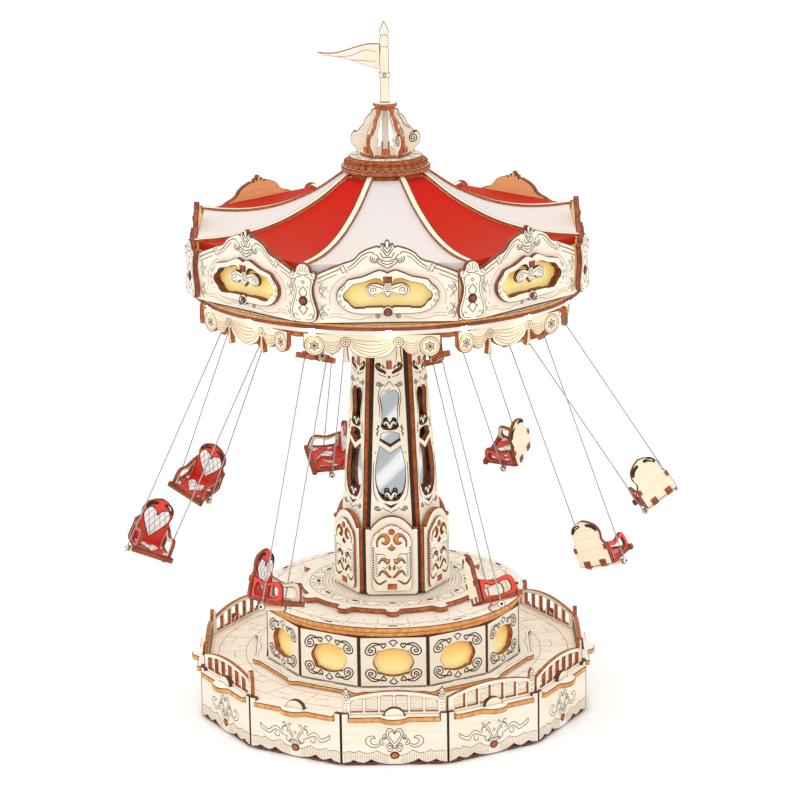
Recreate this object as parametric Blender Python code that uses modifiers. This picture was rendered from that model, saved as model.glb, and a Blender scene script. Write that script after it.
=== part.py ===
"""Chair swing ride, a laser-cut plywood model of a fairground carousel.

The frame is in metres with +Z up and the origin under the middle of the base.
The front of the model faces -Y. Azimuths are in degrees, 0 at the front and
counter-clockwise seen from above, the way the canopy turns.
"""

import math

import bmesh
import bpy
from mathutils import Matrix, Vector

MM = 0.001
GAP = 0.3
PLY = 2.0

# Base, a drum of twelve flat bays
BASE_BAYS = 12
BASE_RADIUS = 75.0
BASE_PLATE_TOP = 2.0
DECK_TOP = 19.1
FENCE_SIDE_HEIGHT = 6.0
FENCE_ARCH_HEIGHT = 8.8
FENCE_RAIL = 1.4
FENCE_THICKNESS = 1.5
FENCE_INSET = 2.2
FENCE_POST_HEIGHT = 10.2
FENCE_POST_RADIUS = 1.3
FENCE_RUNS = ((0, 1, 2, 3), (4, 5, 6, 7), (8, 9, 10))
BALUSTERS = 5
BALUSTER_WIDTH = 1.1

# Raised drum with the lit windows
STEP_RADIUS = 54.0
STEP_THICKNESS = 1.5
DRUM_RADIUS = 49.2
DRUM_WALL_TOP = 40.3
DRUM_TOP = 44.6
DRUM_TOP_RADIUS = 49.8
DRUM_WINDOW_WIDTH = 14.3
DRUM_WINDOW_HEIGHT = 10.1
LINER_THICKNESS = 0.8

# Column
PLINTH_RADIUS = 34.6
PLINTH_EAR_RADIUS = 38.5
PLINTH_EARS = 12
PLINTH_TOP = 46.8
COLUMN_SIDES = 6
FOOT_FACE = 19.6
FOOT_SHOULDER = 72.6
FOOT_CROWN = 77.8
STEM_FACE = 16.9
SHAFT_BOTTOM = 67.0
SHAFT_TOP = 160.4
SHAFT_FACE_LOW = 17.3
SHAFT_FACE_HIGH = 11.3
BOARD_LAP = 0.15
MIRROR_DEPTH = 0.8
SPINDLE_RADIUS = 2.2

# Canopy, an octagon of boards on a round floor
CANOPY_SIDES = 8
FLOOR_BOTTOM = 162.0
FLOOR_MIDDLE = 163.4
FLOOR_TOP = 164.3
FLOOR_RADIUS = 72.3
FLOOR_LOWER_RADIUS = 72.7
FRIEZE_RADIUS = 76.6
FRIEZE_SILL = 0.6
FRIEZE_LEFT_SHORT = 2.4
FRIEZE_RIGHT_SHORT = 4.5
FRIEZE_END_HEIGHT = 17.0
FRAME_THICKNESS = 1.6
PILASTER_RADIUS = 77.2
PILASTER_HEIGHT = 21.4
PILASTER_WIDTH = 10.0

# Right halves of a frieze board's top edge, its raised frame and its window, above the board's sill
FRIEZE_EDGE = ((24.0, 17.3), (21.4, 18.6), (17.3, 20.2), (13.3, 21.5), (11.2, 22.6), (9.9, 24.2), (7.4, 25.6),
               (3.7, 26.9), (2.4, 26.2), (2.0, 27.6), (1.1, 27.0), (0.0, 29.0))
FRAME_EDGE = ((0.0, 2.9), (11.0, 3.1), (14.7, 4.4), (17.4, 7.2), (17.9, 10.0), (16.9, 12.2), (14.9, 14.0),
              (13.6, 15.5), (9.0, 16.3), (3.1, 18.6), (0.0, 17.6))
WINDOW_EDGE = ((0.0, 5.4), (11.8, 5.1), (15.5, 8.6), (15.5, 9.8), (12.8, 13.7), (8.0, 14.6), (3.9, 15.7),
               (1.9, 14.4))
LINER_TOP = 184.3
LIGHT_RING_RADIUS = 70.4
LIGHT_RING_WIDTH = 5.0
LIGHT_RING_HEIGHT = 1.7
VALANCE_RADIUS = 72.5
VALANCE_HEADING = 1.0
VALANCE_RING_WIDTH = 4.4
VALANCE_HALF_WIDTH = 24.4
UNDER_TURN = -5.0

# Roof, as radius and height of the sheets along a corner
ROOF_PROFILE = ((73.0, 185.0), (66.0, 184.9), (58.0, 185.4), (50.0, 186.7), (42.0, 188.9), (34.0, 192.2),
                (26.0, 196.4), (16.0, 203.5))
SHEET_THICKNESS = 0.5
RIB_RISE = 0.7
RIB_DEPTH = 2.6
RIB_LEG_RADIUS = 67.0
RIB_LEG_END = 72.5
RIB_END_RADIUS = 74.9
RIB_RING_RADIUS = 14.0

# Crown, lantern and flag
CROWN_BOTTOM = 205.4
CROWN_RADII = (16.4, 15.5, 13.7)
CROWN_LAYER = 1.8
LANTERN_TOP = 230.0
LANTERN_BRACKETS = 6
COLLAR_RADIUS = 4.4
POLE_TOP = 260.0
POLE_WIDTH = 3.3
FLAG_LENGTH = 24.4

# Swings, flung outward as the ride turns
SWINGS = 8
PIVOT_RADIUS = 56.0
PIVOT_HEIGHT = 148.0
YOKE_WIDTH = 15.6
YOKE_TURN = -3.0
THREAD_RADIUS = 0.25
THREAD_LENGTH = 91.5
SEAT_DROP = 89.2
RAIL_OVERHANG = 1.0
SEAT_WIDTH = 14.4
SEAT_DEPTH = 15.0
SEAT_BACK_HEIGHT = 18.0
FLING_DEGREES = (23.6, 17.8, 32.1, 30.2, 26.5, 25.4, 24.2, 18.0)
LAG_DEGREES = (-7.6, -7.6, 7.6, -0.5, 1.2, 8.0, 5.0, 2.0)


def clear_scene():
    """Remove every object that the file starts with."""
    for obj in list(bpy.data.objects):
        bpy.data.objects.remove(obj, do_unlink=True)


def make_collection(name):
    collection = bpy.data.collections.new(name)
    bpy.context.scene.collection.children.link(collection)
    return collection


clear_scene()
PARTS = make_collection("chair_swing_ride")
CUTTERS = make_collection("cutters")


def make_material(name, colour, roughness, metallic=0.0):
    """Principled material with one flat colour."""
    material = bpy.data.materials.new(name)
    material.use_nodes = True
    shader = material.node_tree.nodes["Principled BSDF"]
    shader.inputs["Base Color"].default_value = (*colour, 1.0)
    shader.inputs["Roughness"].default_value = roughness
    shader.inputs["Metallic"].default_value = metallic
    material.diffuse_color = (*colour, 1.0)
    return material


PLYWOOD = make_material("plywood", (0.86, 0.74, 0.56), 0.7)
RED_SHEET = make_material("red_sheet", (0.78, 0.08, 0.03), 0.6)
WHITE_SHEET = make_material("white_sheet", (0.92, 0.90, 0.86), 0.6)
YELLOW_ACRYLIC = make_material("yellow_acrylic", (0.95, 0.72, 0.18), 0.25)
MIRROR = make_material("mirror", (0.80, 0.82, 0.84), 0.08, 1.0)
LIGHT_STRIP = make_material("light_strip", (0.95, 0.95, 0.92), 0.4)
RED_WOOD = make_material("red_wood", (0.72, 0.09, 0.04), 0.55)
STEEL = make_material("steel", (0.6, 0.6, 0.6), 0.3, 1.0)


def ring_points(radius, count, start=0.0):
    """Points on a circle, counter-clockwise, the first at azimuth start."""
    angles = [math.radians(start + 360.0 * i / count) for i in range(count)]
    return [(radius * math.sin(a), -radius * math.cos(a)) for a in angles]


def ellipse_points(width, height, count):
    angles = [2.0 * math.pi * i / count for i in range(count)]
    return [(0.5 * width * math.cos(a), 0.5 * height * math.sin(a)) for a in angles]


def mirrored(half):
    """Close a half outline, given from the bottom up on the +X side, across X = 0."""
    other = [(-x, y) for x, y in reversed(half) if abs(x) > 1e-6]
    return list(half) + other


def board_matrix(azimuth, distance, height=0.0):
    """Frame of an upright board: X to the right, Y up and Z outward."""
    a = math.radians(azimuth)
    outward = Vector((math.sin(a), -math.cos(a), 0.0))
    right = Vector((math.cos(a), math.sin(a), 0.0))
    matrix = Matrix((right, (0.0, 0.0, 1.0), outward)).transposed().to_4x4()
    matrix.translation = (outward * distance + Vector((0.0, 0.0, height))) * MM
    return matrix


def fin_matrix(azimuth):
    """Frame of a radial board: X outward, Y up, Z across."""
    a = math.radians(azimuth)
    outward = Vector((math.sin(a), -math.cos(a), 0.0))
    across = Vector((-math.cos(a), -math.sin(a), 0.0))
    return Matrix((outward, (0.0, 0.0, 1.0), across)).transposed().to_4x4()


def link_mesh(name, mesh, material, matrix=None, collection=None):
    obj = bpy.data.objects.new(name, mesh)
    (collection or PARTS).objects.link(obj)
    obj.data.materials.clear()
    obj.data.materials.append(material)
    if matrix is not None:
        obj.matrix_world = matrix
    return obj


def bake(obj):
    """Replace an object's mesh by its evaluated one, welded and without modifiers."""
    bpy.context.view_layer.update()
    depsgraph = bpy.context.evaluated_depsgraph_get()
    mesh = bpy.data.meshes.new_from_object(obj.evaluated_get(depsgraph))
    work = bmesh.new()
    work.from_mesh(mesh)
    bmesh.ops.remove_doubles(work, verts=work.verts, dist=0.00001)
    work.to_mesh(mesh)
    work.free()
    return mesh


def outline(name, loops, thickness, material, matrix=None, middle=0.0):
    """Flat plate cut to the outer loop and its holes, thickness centred on local Z = middle."""
    curve = bpy.data.curves.new(name, "CURVE")
    curve.dimensions = "2D"
    curve.fill_mode = "BOTH"
    curve.extrude = 0.5 * thickness * MM
    for loop in loops:
        spline = curve.splines.new("POLY")
        spline.points.add(len(loop) - 1)
        for point, (x, y) in zip(spline.points, loop):
            point.co = (x * MM, y * MM, 0.0, 1.0)
        spline.use_cyclic_u = True
    source = bpy.data.objects.new(name + "_curve", curve)
    PARTS.objects.link(source)
    mesh = bake(source)
    bpy.data.objects.remove(source, do_unlink=True)
    mesh.transform(Matrix.Translation((0.0, 0.0, middle * MM)))
    return link_mesh(name, mesh, material, matrix)


def plate(name, loops, bottom, top, material):
    """Level plate between two heights."""
    return outline(name, loops, top - bottom, material, middle=0.5 * (bottom + top))


def rod(name, start, end, radius, material, sides=8):
    """Straight round bar between two points."""
    start, end = Vector(start), Vector(end)
    work = bmesh.new()
    bmesh.ops.create_cone(work, cap_ends=True, segments=sides, radius1=radius * MM, radius2=radius * MM,
                          depth=(end - start).length * MM)
    mesh = bpy.data.meshes.new(name)
    work.to_mesh(mesh)
    work.free()
    turn = (end - start).to_track_quat("Z", "Y").to_matrix().to_4x4()
    turn.translation = 0.5 * (start + end) * MM
    mesh.transform(turn)
    return link_mesh(name, mesh, material)


def box(name, low, high, material):
    """Box between two corners."""
    low, high = Vector(low), Vector(high)
    size = (high - low) * MM
    work = bmesh.new()
    bmesh.ops.create_cube(work, size=1.0)
    mesh = bpy.data.meshes.new(name)
    work.to_mesh(mesh)
    work.free()
    mesh.transform(Matrix.Translation(0.5 * (low + high) * MM) @ Matrix.Diagonal((*size, 1.0)))
    return link_mesh(name, mesh, material)


def turned(name, profile, material, steps=24, centre=(0.0, 0.0)):
    """Turned piece from an outer profile of radius and height, top to bottom."""
    mesh = bpy.data.meshes.new(name)
    mesh.from_pydata([(r * MM, 0.0, z * MM) for r, z in profile],
                     [(i, i + 1) for i in range(len(profile) - 1)], [])
    obj = link_mesh(name, mesh, material)
    screw = obj.modifiers.new("Screw", "SCREW")
    screw.steps = steps
    screw.render_steps = steps
    screw.use_merge_vertices = True
    screw.merge_threshold = 0.00001
    obj.data = bake(obj)
    obj.modifiers.clear()
    obj.location = (centre[0] * MM, centre[1] * MM, 0.0)
    return obj


def combine(target, others, operation="UNION"):
    """Join or cut one solid with others and bake the result."""
    for other in others:
        CUTTERS.objects.link(other)
        PARTS.objects.unlink(other)
        modifier = target.modifiers.new(operation.title(), "BOOLEAN")
        modifier.operation = operation
        modifier.solver = "EXACT"
        modifier.object = other
    target.data = bake(target)
    target.modifiers.clear()
    for other in others:
        bpy.data.objects.remove(other, do_unlink=True)
    return target


def apothem(radius, sides):
    return radius * math.cos(math.pi / sides)


def side_length(radius, sides):
    return 2.0 * radius * math.sin(math.pi / sides)


def polygon(radius, sides):
    """Regular polygon with a flat side to the front."""
    return ring_points(radius, sides, start=180.0 / sides)


def deck_outline():
    """Deck with a stepped ledge and a round ear in the middle of each side."""
    points = []
    half = 0.5 * side_length(BASE_RADIUS, BASE_BAYS)
    inner = apothem(BASE_RADIUS, BASE_BAYS)
    ledge = inner + 1.6
    for bay in range(BASE_BAYS):
        a = math.radians(360.0 * bay / BASE_BAYS)
        notch = half - 2.2
        local = [(-half, inner), (-notch, inner), (-notch, ledge), (-5.5, ledge), (-4.4, ledge + 1.0)]
        for i in range(4):
            angle = math.radians(150.0 - 40.0 * i)
            local.append((3.4 * math.cos(angle), ledge + 0.4 + 2.4 * math.sin(angle)))
        local += [(4.4, ledge + 1.0), (5.5, ledge), (notch, ledge), (notch, inner)]
        for x, out in local:
            points.append((x * math.cos(a) + out * math.sin(a), x * math.sin(a) - out * math.cos(a)))
    return points


def build_base():
    """Bottom plate, the ring of boards around it, and the deck on top of them."""
    wall_top = DECK_TOP - PLY - GAP
    plate("base_wall", [polygon(BASE_RADIUS, BASE_BAYS), polygon(BASE_RADIUS - PLY, BASE_BAYS)],
          GAP, wall_top, PLYWOOD)
    plate("base_plate", [polygon(BASE_RADIUS - PLY - GAP, BASE_BAYS)], 0.0, BASE_PLATE_TOP, PLYWOOD)
    plate("deck_plate", [deck_outline()], DECK_TOP - PLY, DECK_TOP, PLYWOOD)


def fence_loops():
    """One fence bay with an arched rail and slots between its balusters."""
    half = 0.5 * side_length(BASE_RADIUS - 1.5, BASE_BAYS) - 0.6
    steps = 8
    stile = 1.0
    sill = 1.2

    def arch(x, height):
        return height + (FENCE_ARCH_HEIGHT - FENCE_SIDE_HEIGHT) * (1.0 - (x / half) ** 2)

    outer = [(-half, 0.0), (half, 0.0)]
    for i in range(steps + 1):
        x = half - 2.0 * half * i / steps
        outer.append((x, arch(x, FENCE_SIDE_HEIGHT)))
    loops = [outer]
    pitch = 2.0 * (half - stile) / (BALUSTERS + 1)
    under = FENCE_SIDE_HEIGHT - FENCE_RAIL
    for i in range(BALUSTERS + 1):
        left = -half + stile + pitch * i + 0.5 * BALUSTER_WIDTH
        right = left + pitch - BALUSTER_WIDTH
        loops.append([(left, sill), (right, sill), (right, arch(right, under)), (left, arch(left, under))])
    return loops


def fence_post(name, azimuth):
    """Turned post with a bead at its top."""
    radius = BASE_RADIUS - FENCE_INSET
    a = math.radians(azimuth)
    bottom = DECK_TOP + GAP
    top = bottom + FENCE_POST_HEIGHT
    r = FENCE_POST_RADIUS
    profile = ((0.0, top), (r, top - 1.3), (0.5 * r, top - 2.7), (r, top - 3.5), (r, bottom), (0.0, bottom))
    return turned(name, profile, PLYWOOD, steps=6, centre=(radius * math.sin(a), -radius * math.cos(a)))


def build_fences():
    """Eleven fenced bays in three runs; the bay left of the front stays open as the entrance."""
    bay_angle = 360.0 / BASE_BAYS
    distance = apothem(BASE_RADIUS - FENCE_INSET, BASE_BAYS)
    for index, run in enumerate(FENCE_RUNS):
        panels = [outline(f"panel_{bay}", fence_loops(), FENCE_THICKNESS, PLYWOOD,
                          board_matrix(bay_angle * bay, distance, DECK_TOP + GAP)) for bay in run]
        ends = list(range(run[0], run[-1] + 2))
        if index > 0:
            ends = ends[1:]
            panels[0] = trim_panel(panels[0])
        posts = [fence_post(f"post_{corner}", bay_angle * (corner - 0.5)) for corner in ends]
        fence = panels[0]
        fence.name = f"fence_{index + 1}"
        combine(fence, panels[1:] + posts)


def trim_panel(panel):
    """Shorten a run's first panel so that it stays clear of the run before it."""
    half = 0.5 * side_length(BASE_RADIUS - 1.5, BASE_BAYS)
    cutter = box("trim", (-half - 3.0, -5.0, -5.0), (-half + FENCE_POST_RADIUS + 0.2, 20.0, 5.0), PLYWOOD)
    cutter.matrix_world = panel.matrix_world
    return combine(panel, [cutter], "DIFFERENCE")


def build_drum():
    step_bottom = DECK_TOP + GAP
    step_top = step_bottom + STEP_THICKNESS
    plate("drum_step", [polygon(STEP_RADIUS, BASE_BAYS)], step_bottom, step_top, PLYWOOD)
    wall_bottom = step_top + GAP
    wall = plate("drum_wall", [polygon(DRUM_RADIUS, BASE_BAYS), polygon(DRUM_RADIUS - PLY, BASE_BAYS)],
                 wall_bottom, DRUM_WALL_TOP, PLYWOOD)
    middle = 0.5 * (wall_bottom + DRUM_WALL_TOP)
    window = ellipse_points(DRUM_WINDOW_WIDTH, DRUM_WINDOW_HEIGHT, 12)
    cutters = [outline(f"window_{bay}", [window], 6.0, PLYWOOD,
                       board_matrix(360.0 * bay / BASE_BAYS, apothem(DRUM_RADIUS - 1.0, BASE_BAYS), middle))
               for bay in range(BASE_BAYS)]
    combine(wall, cutters, "DIFFERENCE")
    liner = DRUM_RADIUS - PLY - GAP
    plate("drum_windows", [polygon(liner, BASE_BAYS), polygon(liner - LINER_THICKNESS, BASE_BAYS)],
          wall_bottom, DRUM_WALL_TOP, YELLOW_ACRYLIC)
    lower = DRUM_WALL_TOP + GAP
    inner = DRUM_TOP_RADIUS - 1.4
    step = DRUM_TOP - PLY
    profile = ((0.0, DRUM_TOP), (DRUM_TOP_RADIUS, DRUM_TOP), (DRUM_TOP_RADIUS, step), (inner, step), (inner, lower),
               (0.0, lower))
    turned("drum_top", profile, PLYWOOD, steps=36)


def plinth_outline():
    """Round plate with twelve round ears."""
    points = []
    rise = PLINTH_EAR_RADIUS - PLINTH_RADIUS
    for ear in range(PLINTH_EARS):
        for turn, share in ((-4.8, 0.0), (-3.2, 0.76), (0.0, 1.0), (3.2, 0.76), (4.8, 0.0), (15.0, 0.0)):
            angle = math.radians(360.0 * ear / PLINTH_EARS + turn)
            radius = PLINTH_RADIUS + rise * share
            points.append((radius * math.sin(angle), -radius * math.cos(angle)))
    return points


def inner_half(face):
    """Half the width of a column board whose inner corners just reach its neighbours'."""
    return (face - PLY) * math.tan(math.pi / COLUMN_SIDES) + BOARD_LAP


def hexagon_cone(name, low_face, high_face, bottom, top, material):
    """Six-sided tapered solid from the distances of its faces at its foot and its top."""
    to_corner = 1.0 / math.cos(math.pi / COLUMN_SIDES)
    work = bmesh.new()
    bmesh.ops.create_cone(work, cap_ends=True, segments=COLUMN_SIDES, radius1=low_face * to_corner * MM,
                          radius2=high_face * to_corner * MM, depth=(top - bottom) * MM)
    mesh = bpy.data.meshes.new(name)
    work.to_mesh(mesh)
    work.free()
    flat_to_front = Matrix.Rotation(math.pi / COLUMN_SIDES, 4, "Z")
    mesh.transform(Matrix.Translation((0.0, 0.0, 0.5 * (top + bottom) * MM)) @ flat_to_front)
    return link_mesh(name, mesh, material)


def hexagon_tube(name, low_face, high_face, wall, bottom, top, material):
    """Six-sided tapered tube, open at both ends."""
    tube = hexagon_cone(name, low_face, high_face, bottom, top, material)
    over = 1.0
    slope = over * (low_face - high_face) / (top - bottom)
    core = hexagon_cone("core", low_face - wall + slope, high_face - wall - slope, bottom - over, top + over,
                        material)
    return combine(tube, [core], "DIFFERENCE")


def shaft_windows():
    """A tall opening and a wider one below it, up the middle of a shaft board."""
    tall = mirrored([(0.0, 50.6), (2.4, 51.4), (3.3, 54.0), (3.0, 63.0), (3.6, 71.0), (2.6, 74.0),
                     (1.0, 74.2), (0.0, 73.0)])
    wide = mirrored([(0.0, 16.2), (3.2, 17.4), (5.2, 24.0), (5.8, 31.0), (5.0, 41.0), (4.2, 44.4),
                     (0.0, 40.4)])
    return [tall, wide]


def build_shaft(bottom, turn):
    """Six leaning boards with square edges, on a straight stem inside the foot boards."""
    drop = SHAFT_FACE_LOW - SHAFT_FACE_HIGH
    rise = SHAFT_TOP - SHAFT_BOTTOM
    lean = Matrix.Rotation(-math.atan2(drop, rise), 4, "X")
    length = math.hypot(drop, rise)
    low, high = inner_half(SHAFT_FACE_LOW), inner_half(SHAFT_FACE_HIGH)
    board = [(-low, 0.0), (low, 0.0), (high, length), (-high, length)]
    boards = [outline(f"shaft_{side}", [board] + shaft_windows(), PLY, PLYWOOD,
                      board_matrix(turn * side, SHAFT_FACE_LOW, SHAFT_BOTTOM) @ lean, middle=-0.5 * PLY)
              for side in range(COLUMN_SIDES)]
    shaft = hexagon_tube("column_shaft", STEM_FACE, STEM_FACE, PLY, bottom, SHAFT_BOTTOM + 1.5, PLYWOOD)
    combine(shaft, boards)


def build_column():
    """Plinth, shaft with its mirror, foot boards and the spindle inside."""
    plate("column_plinth", [plinth_outline()], DRUM_TOP + GAP, PLINTH_TOP, PLYWOOD)
    bottom = PLINTH_TOP + GAP
    turn = 360.0 / COLUMN_SIDES
    build_shaft(bottom, turn)
    inset = PLY + 2.0 * GAP
    hexagon_tube("column_mirror", SHAFT_FACE_LOW - inset, SHAFT_FACE_HIGH - inset, MIRROR_DEPTH,
                 SHAFT_BOTTOM + 1.5 + GAP, SHAFT_TOP, MIRROR)
    build_column_foot(bottom, turn)
    rod("column_spindle", (0.0, 0.0, bottom), (0.0, 0.0, CROWN_BOTTOM - 4.0), SPINDLE_RADIUS, STEEL, sides=16)


def build_column_foot(bottom, turn):
    """Six arched boards around the shaft's foot."""
    half = inner_half(FOOT_FACE)
    arch = half - 1.9
    shoulder = FOOT_SHOULDER - bottom
    crown = FOOT_CROWN - bottom
    top = []
    for i in range(9):
        x = arch * (1.0 - i / 4.0)
        top.append((x, shoulder + (crown - shoulder) * math.sqrt(max(0.0, 1.0 - (x / arch) ** 2))))
    board = [(-half, 0.0), (half, 0.0), (half, shoulder)] + top + [(-half, shoulder)]
    boards = [outline(f"foot_{side}", [board], PLY, PLYWOOD,
                      board_matrix(turn * side, FOOT_FACE - 0.5 * PLY, bottom))
              for side in range(COLUMN_SIDES)]
    boards[0].name = "column_foot"
    combine(boards[0], boards[1:])


def build_canopy_floor():
    """Two-layer round floor with the hub around the spindle and eight forked hangers."""
    hole = ring_points(SPINDLE_RADIUS + GAP, 16)
    floor = plate("canopy_floor", [ring_points(FLOOR_RADIUS, 64), hole], FLOOR_MIDDLE - 0.3, FLOOR_TOP, PLYWOOD)
    lower = plate("floor_lower", [ring_points(FLOOR_LOWER_RADIUS, 64), hole], FLOOR_BOTTOM, FLOOR_MIDDLE, PLYWOOD)
    hub = plate("hub", [ring_points(6.0, 16), hole], FLOOR_TOP - 0.5, FLOOR_TOP + 4.0, PLYWOOD)
    combine(floor, [lower, hub])
    cheeks = []
    for swing in range(SWINGS):
        frame = swing_frame(swing)
        for side in (-1.0, 1.0):
            cheek = mirrored([(1.2, -2.0), (2.2, 0.5), (3.2, 15.2)])
            offset = side * (0.5 * PLY + GAP + 0.5)
            matrix = frame @ Matrix.Translation((0.0, 0.0, offset * MM))
            cheeks.append(outline(f"cheek_{swing}_{side}", [cheek], 1.0, PLYWOOD, matrix))
        pin = rod(f"pin_{swing}", (0.0, 0.0, -2.6), (0.0, 0.0, 2.6), 0.7, PLYWOOD, sides=6)
        pin.matrix_world = frame
        cheeks.append(pin)
    combine(floor, cheeks)


def frieze_outline(left, right):
    """Frieze board with its curved top edge and crest, from its two ends inward."""
    top = [(-x, y) for x, y in reversed(FRIEZE_EDGE[:-1])]
    foot = [(-left, FRIEZE_END_HEIGHT), (-left, -FRIEZE_SILL), (right, -FRIEZE_SILL), (right, FRIEZE_END_HEIGHT)]
    return foot + list(FRIEZE_EDGE) + top


def pilaster_outline():
    """Shield-shaped corner board with a small palmette on top."""
    w = 0.5 * PILASTER_WIDTH
    h = PILASTER_HEIGHT
    return mirrored([(0.0, 0.0), (0.84 * w, 0.6), (w, 2.4), (0.94 * w, 5.0), (0.72 * w, 10.5),
                     (0.9 * w, 15.0), (0.5 * w, 17.2), (0.45 * w, 19.8), (0.0, h)])


def build_friezes():
    foot = FLOOR_TOP + GAP
    turn = 360.0 / CANOPY_SIDES
    half = 0.5 * side_length(FRIEZE_RADIUS, CANOPY_SIDES)
    window = mirrored(WINDOW_EDGE)
    middle = 0.5 * (WINDOW_EDGE[0][1] + WINDOW_EDGE[-1][1])
    rebate = [(1.03 * x, middle + 1.06 * (y - middle)) for x, y in window]
    embed = 0.2
    for side in range(CANOPY_SIDES):
        place = board_matrix(turn * side, apothem(FRIEZE_RADIUS, CANOPY_SIDES), foot + FRIEZE_SILL)
        edge = frieze_outline(half - FRIEZE_LEFT_SHORT, half - FRIEZE_RIGHT_SHORT)
        board = outline(f"frieze_{side + 1}", [edge, rebate], PLY, PLYWOOD, place, middle=-0.5 * PLY)
        frame = outline("frame", [mirrored(FRAME_EDGE), window], FRAME_THICKNESS + embed, PLYWOOD,
                        place, middle=0.5 * (FRAME_THICKNESS - embed))
        pilaster = outline("pilaster", [pilaster_outline()], PLY, PLYWOOD,
                           board_matrix(turn * (side - 0.5), PILASTER_RADIUS - 0.5 * PLY, foot + FRIEZE_SILL))
        combine(board, [frame, pilaster])
    liner = FRIEZE_RADIUS - (PLY + GAP) / math.cos(math.pi / CANOPY_SIDES)
    plate("frieze_windows", [polygon(liner, CANOPY_SIDES), polygon(liner - LINER_THICKNESS, CANOPY_SIDES)],
          foot, LINER_TOP, YELLOW_ACRYLIC)


def valance_outline():
    """Board of swags and tassels between two rosettes, below its plain heading."""
    points = [(-VALANCE_HALF_WIDTH + 0.8, VALANCE_HEADING)]
    rosette = 20.8
    tassel = 9.2

    def swag(x0, x1, depth, count):
        shares = [i / count for i in range(1, count)]
        return [(x0 + (x1 - x0) * t, -depth + 2.6 * (2.0 * t - 1.0) ** 2) for t in shares]

    left = [(-rosette + 3.6 * math.cos(a), -3.8 + 3.6 * math.sin(a))
            for a in (math.radians(150.0 + 42.0 * i) for i in range(5))]
    small = swag(-rosette + 3.2, -tassel - 1.2, 5.3, 3)
    tail = [(-tassel - 0.9, -4.4), (-tassel - 2.0, -9.2), (-tassel + 1.6, -9.6), (-tassel + 0.9, -5.2)]
    half = left + small + tail
    middle = swag(-tassel + 1.0, tassel - 1.0, 8.8, 6)
    points += half + middle + [(-x, y) for x, y in reversed(half)]
    points += [(VALANCE_HALF_WIDTH - 0.8, VALANCE_HEADING)]
    return points


def build_valance():
    """White light ring under the floor, and the ring of swagged boards that it carries."""
    ring_top = FLOOR_BOTTOM - GAP
    ring_bottom = ring_top - LIGHT_RING_HEIGHT
    strip = [ring_points(LIGHT_RING_RADIUS - inset, 48) for inset in (0.0, LIGHT_RING_WIDTH)]
    plate("light_ring", strip, ring_bottom, ring_top, LIGHT_STRIP)
    top = ring_bottom - GAP
    turn = 360.0 / CANOPY_SIDES
    corner = UNDER_TURN + 0.5 * turn
    ring_radius = VALANCE_RADIUS - 1.6
    loops = [ring_points(ring_radius - inset, CANOPY_SIDES, corner) for inset in (0.0, VALANCE_RING_WIDTH)]
    ring = plate("valance", loops, top - 1.6, top, PLYWOOD)
    distance = apothem(VALANCE_RADIUS, CANOPY_SIDES) - 0.5 * PLY
    boards = [outline(f"swags_{side}", [valance_outline()], PLY, PLYWOOD,
                      board_matrix(turn * side + UNDER_TURN, distance, top - VALANCE_HEADING))
              for side in range(CANOPY_SIDES)]
    combine(ring, boards)


def roof_height(radius):
    """Height of the roof sheets at a radius along a corner, read off the profile."""
    pairs = sorted(ROOF_PROFILE)
    if radius <= pairs[0][0]:
        return pairs[0][1]
    for (r0, z0), (r1, z1) in zip(pairs, pairs[1:]):
        if radius <= r1:
            return z0 + (z1 - z0) * (radius - r0) / (r1 - r0)
    return pairs[-1][1]


def build_roof():
    """Eight hollow-curved sheets, white and red in turn, between the corner ribs."""
    turn = 360.0 / CANOPY_SIDES
    clear = 0.5 * PLY + GAP
    for side in range(CANOPY_SIDES):
        vertices = []
        for radius, height in ROOF_PROFILE:
            half = radius * math.sin(math.radians(0.5 * turn)) - clear
            out = radius * math.cos(math.radians(0.5 * turn))
            vertices += [Vector((-half, height, out)) * MM, Vector((half, height, out)) * MM]
        faces = [(2 * i, 2 * i + 1, 2 * i + 3, 2 * i + 2) for i in range(len(ROOF_PROFILE) - 1)]
        mesh = bpy.data.meshes.new(f"roof_panel_{side + 1}")
        mesh.from_pydata(vertices, [], faces)
        sheet = link_mesh(f"roof_panel_{side + 1}", mesh, RED_SHEET if side % 2 else WHITE_SHEET,
                          board_matrix(turn * side, 0.0))
        solid = sheet.modifiers.new("Solidify", "SOLIDIFY")
        solid.thickness = SHEET_THICKNESS * MM
        solid.offset = 0.0
    build_ribs(turn)


def build_ribs(turn):
    """Eight curved ribs that meet in a ring under the crown."""
    foot = FLOOR_TOP + GAP
    profile = [(r, z) for r, z in ROOF_PROFILE if r < RIB_END_RADIUS]
    step = LINER_TOP + GAP
    end = [(RIB_LEG_END, step), (RIB_END_RADIUS, step), (RIB_END_RADIUS, roof_height(RIB_END_RADIUS) + RIB_RISE)]
    top = end + [(r, z + RIB_RISE) for r, z in profile]
    under = [(r, z - RIB_DEPTH) for r, z in reversed(profile) if r < RIB_LEG_RADIUS]
    tip = [(RIB_RING_RADIUS - 0.5, 204.0), (RIB_RING_RADIUS - 0.5, 201.0)]
    rib = [(RIB_LEG_RADIUS, foot), (RIB_LEG_END, foot)] + top + tip + under + [(RIB_LEG_RADIUS, 180.0)]
    ribs = [outline(f"rib_{i}", [rib], PLY, PLYWOOD, fin_matrix(turn * (i + 0.5)))
            for i in range(CANOPY_SIDES)]
    ring = plate("roof_ribs", [ring_points(RIB_RING_RADIUS, 24), ring_points(SPINDLE_RADIUS + GAP, 24)],
                 CROWN_BOTTOM - GAP - 2.4, CROWN_BOTTOM - GAP, PLYWOOD)
    combine(ring, ribs)


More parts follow.
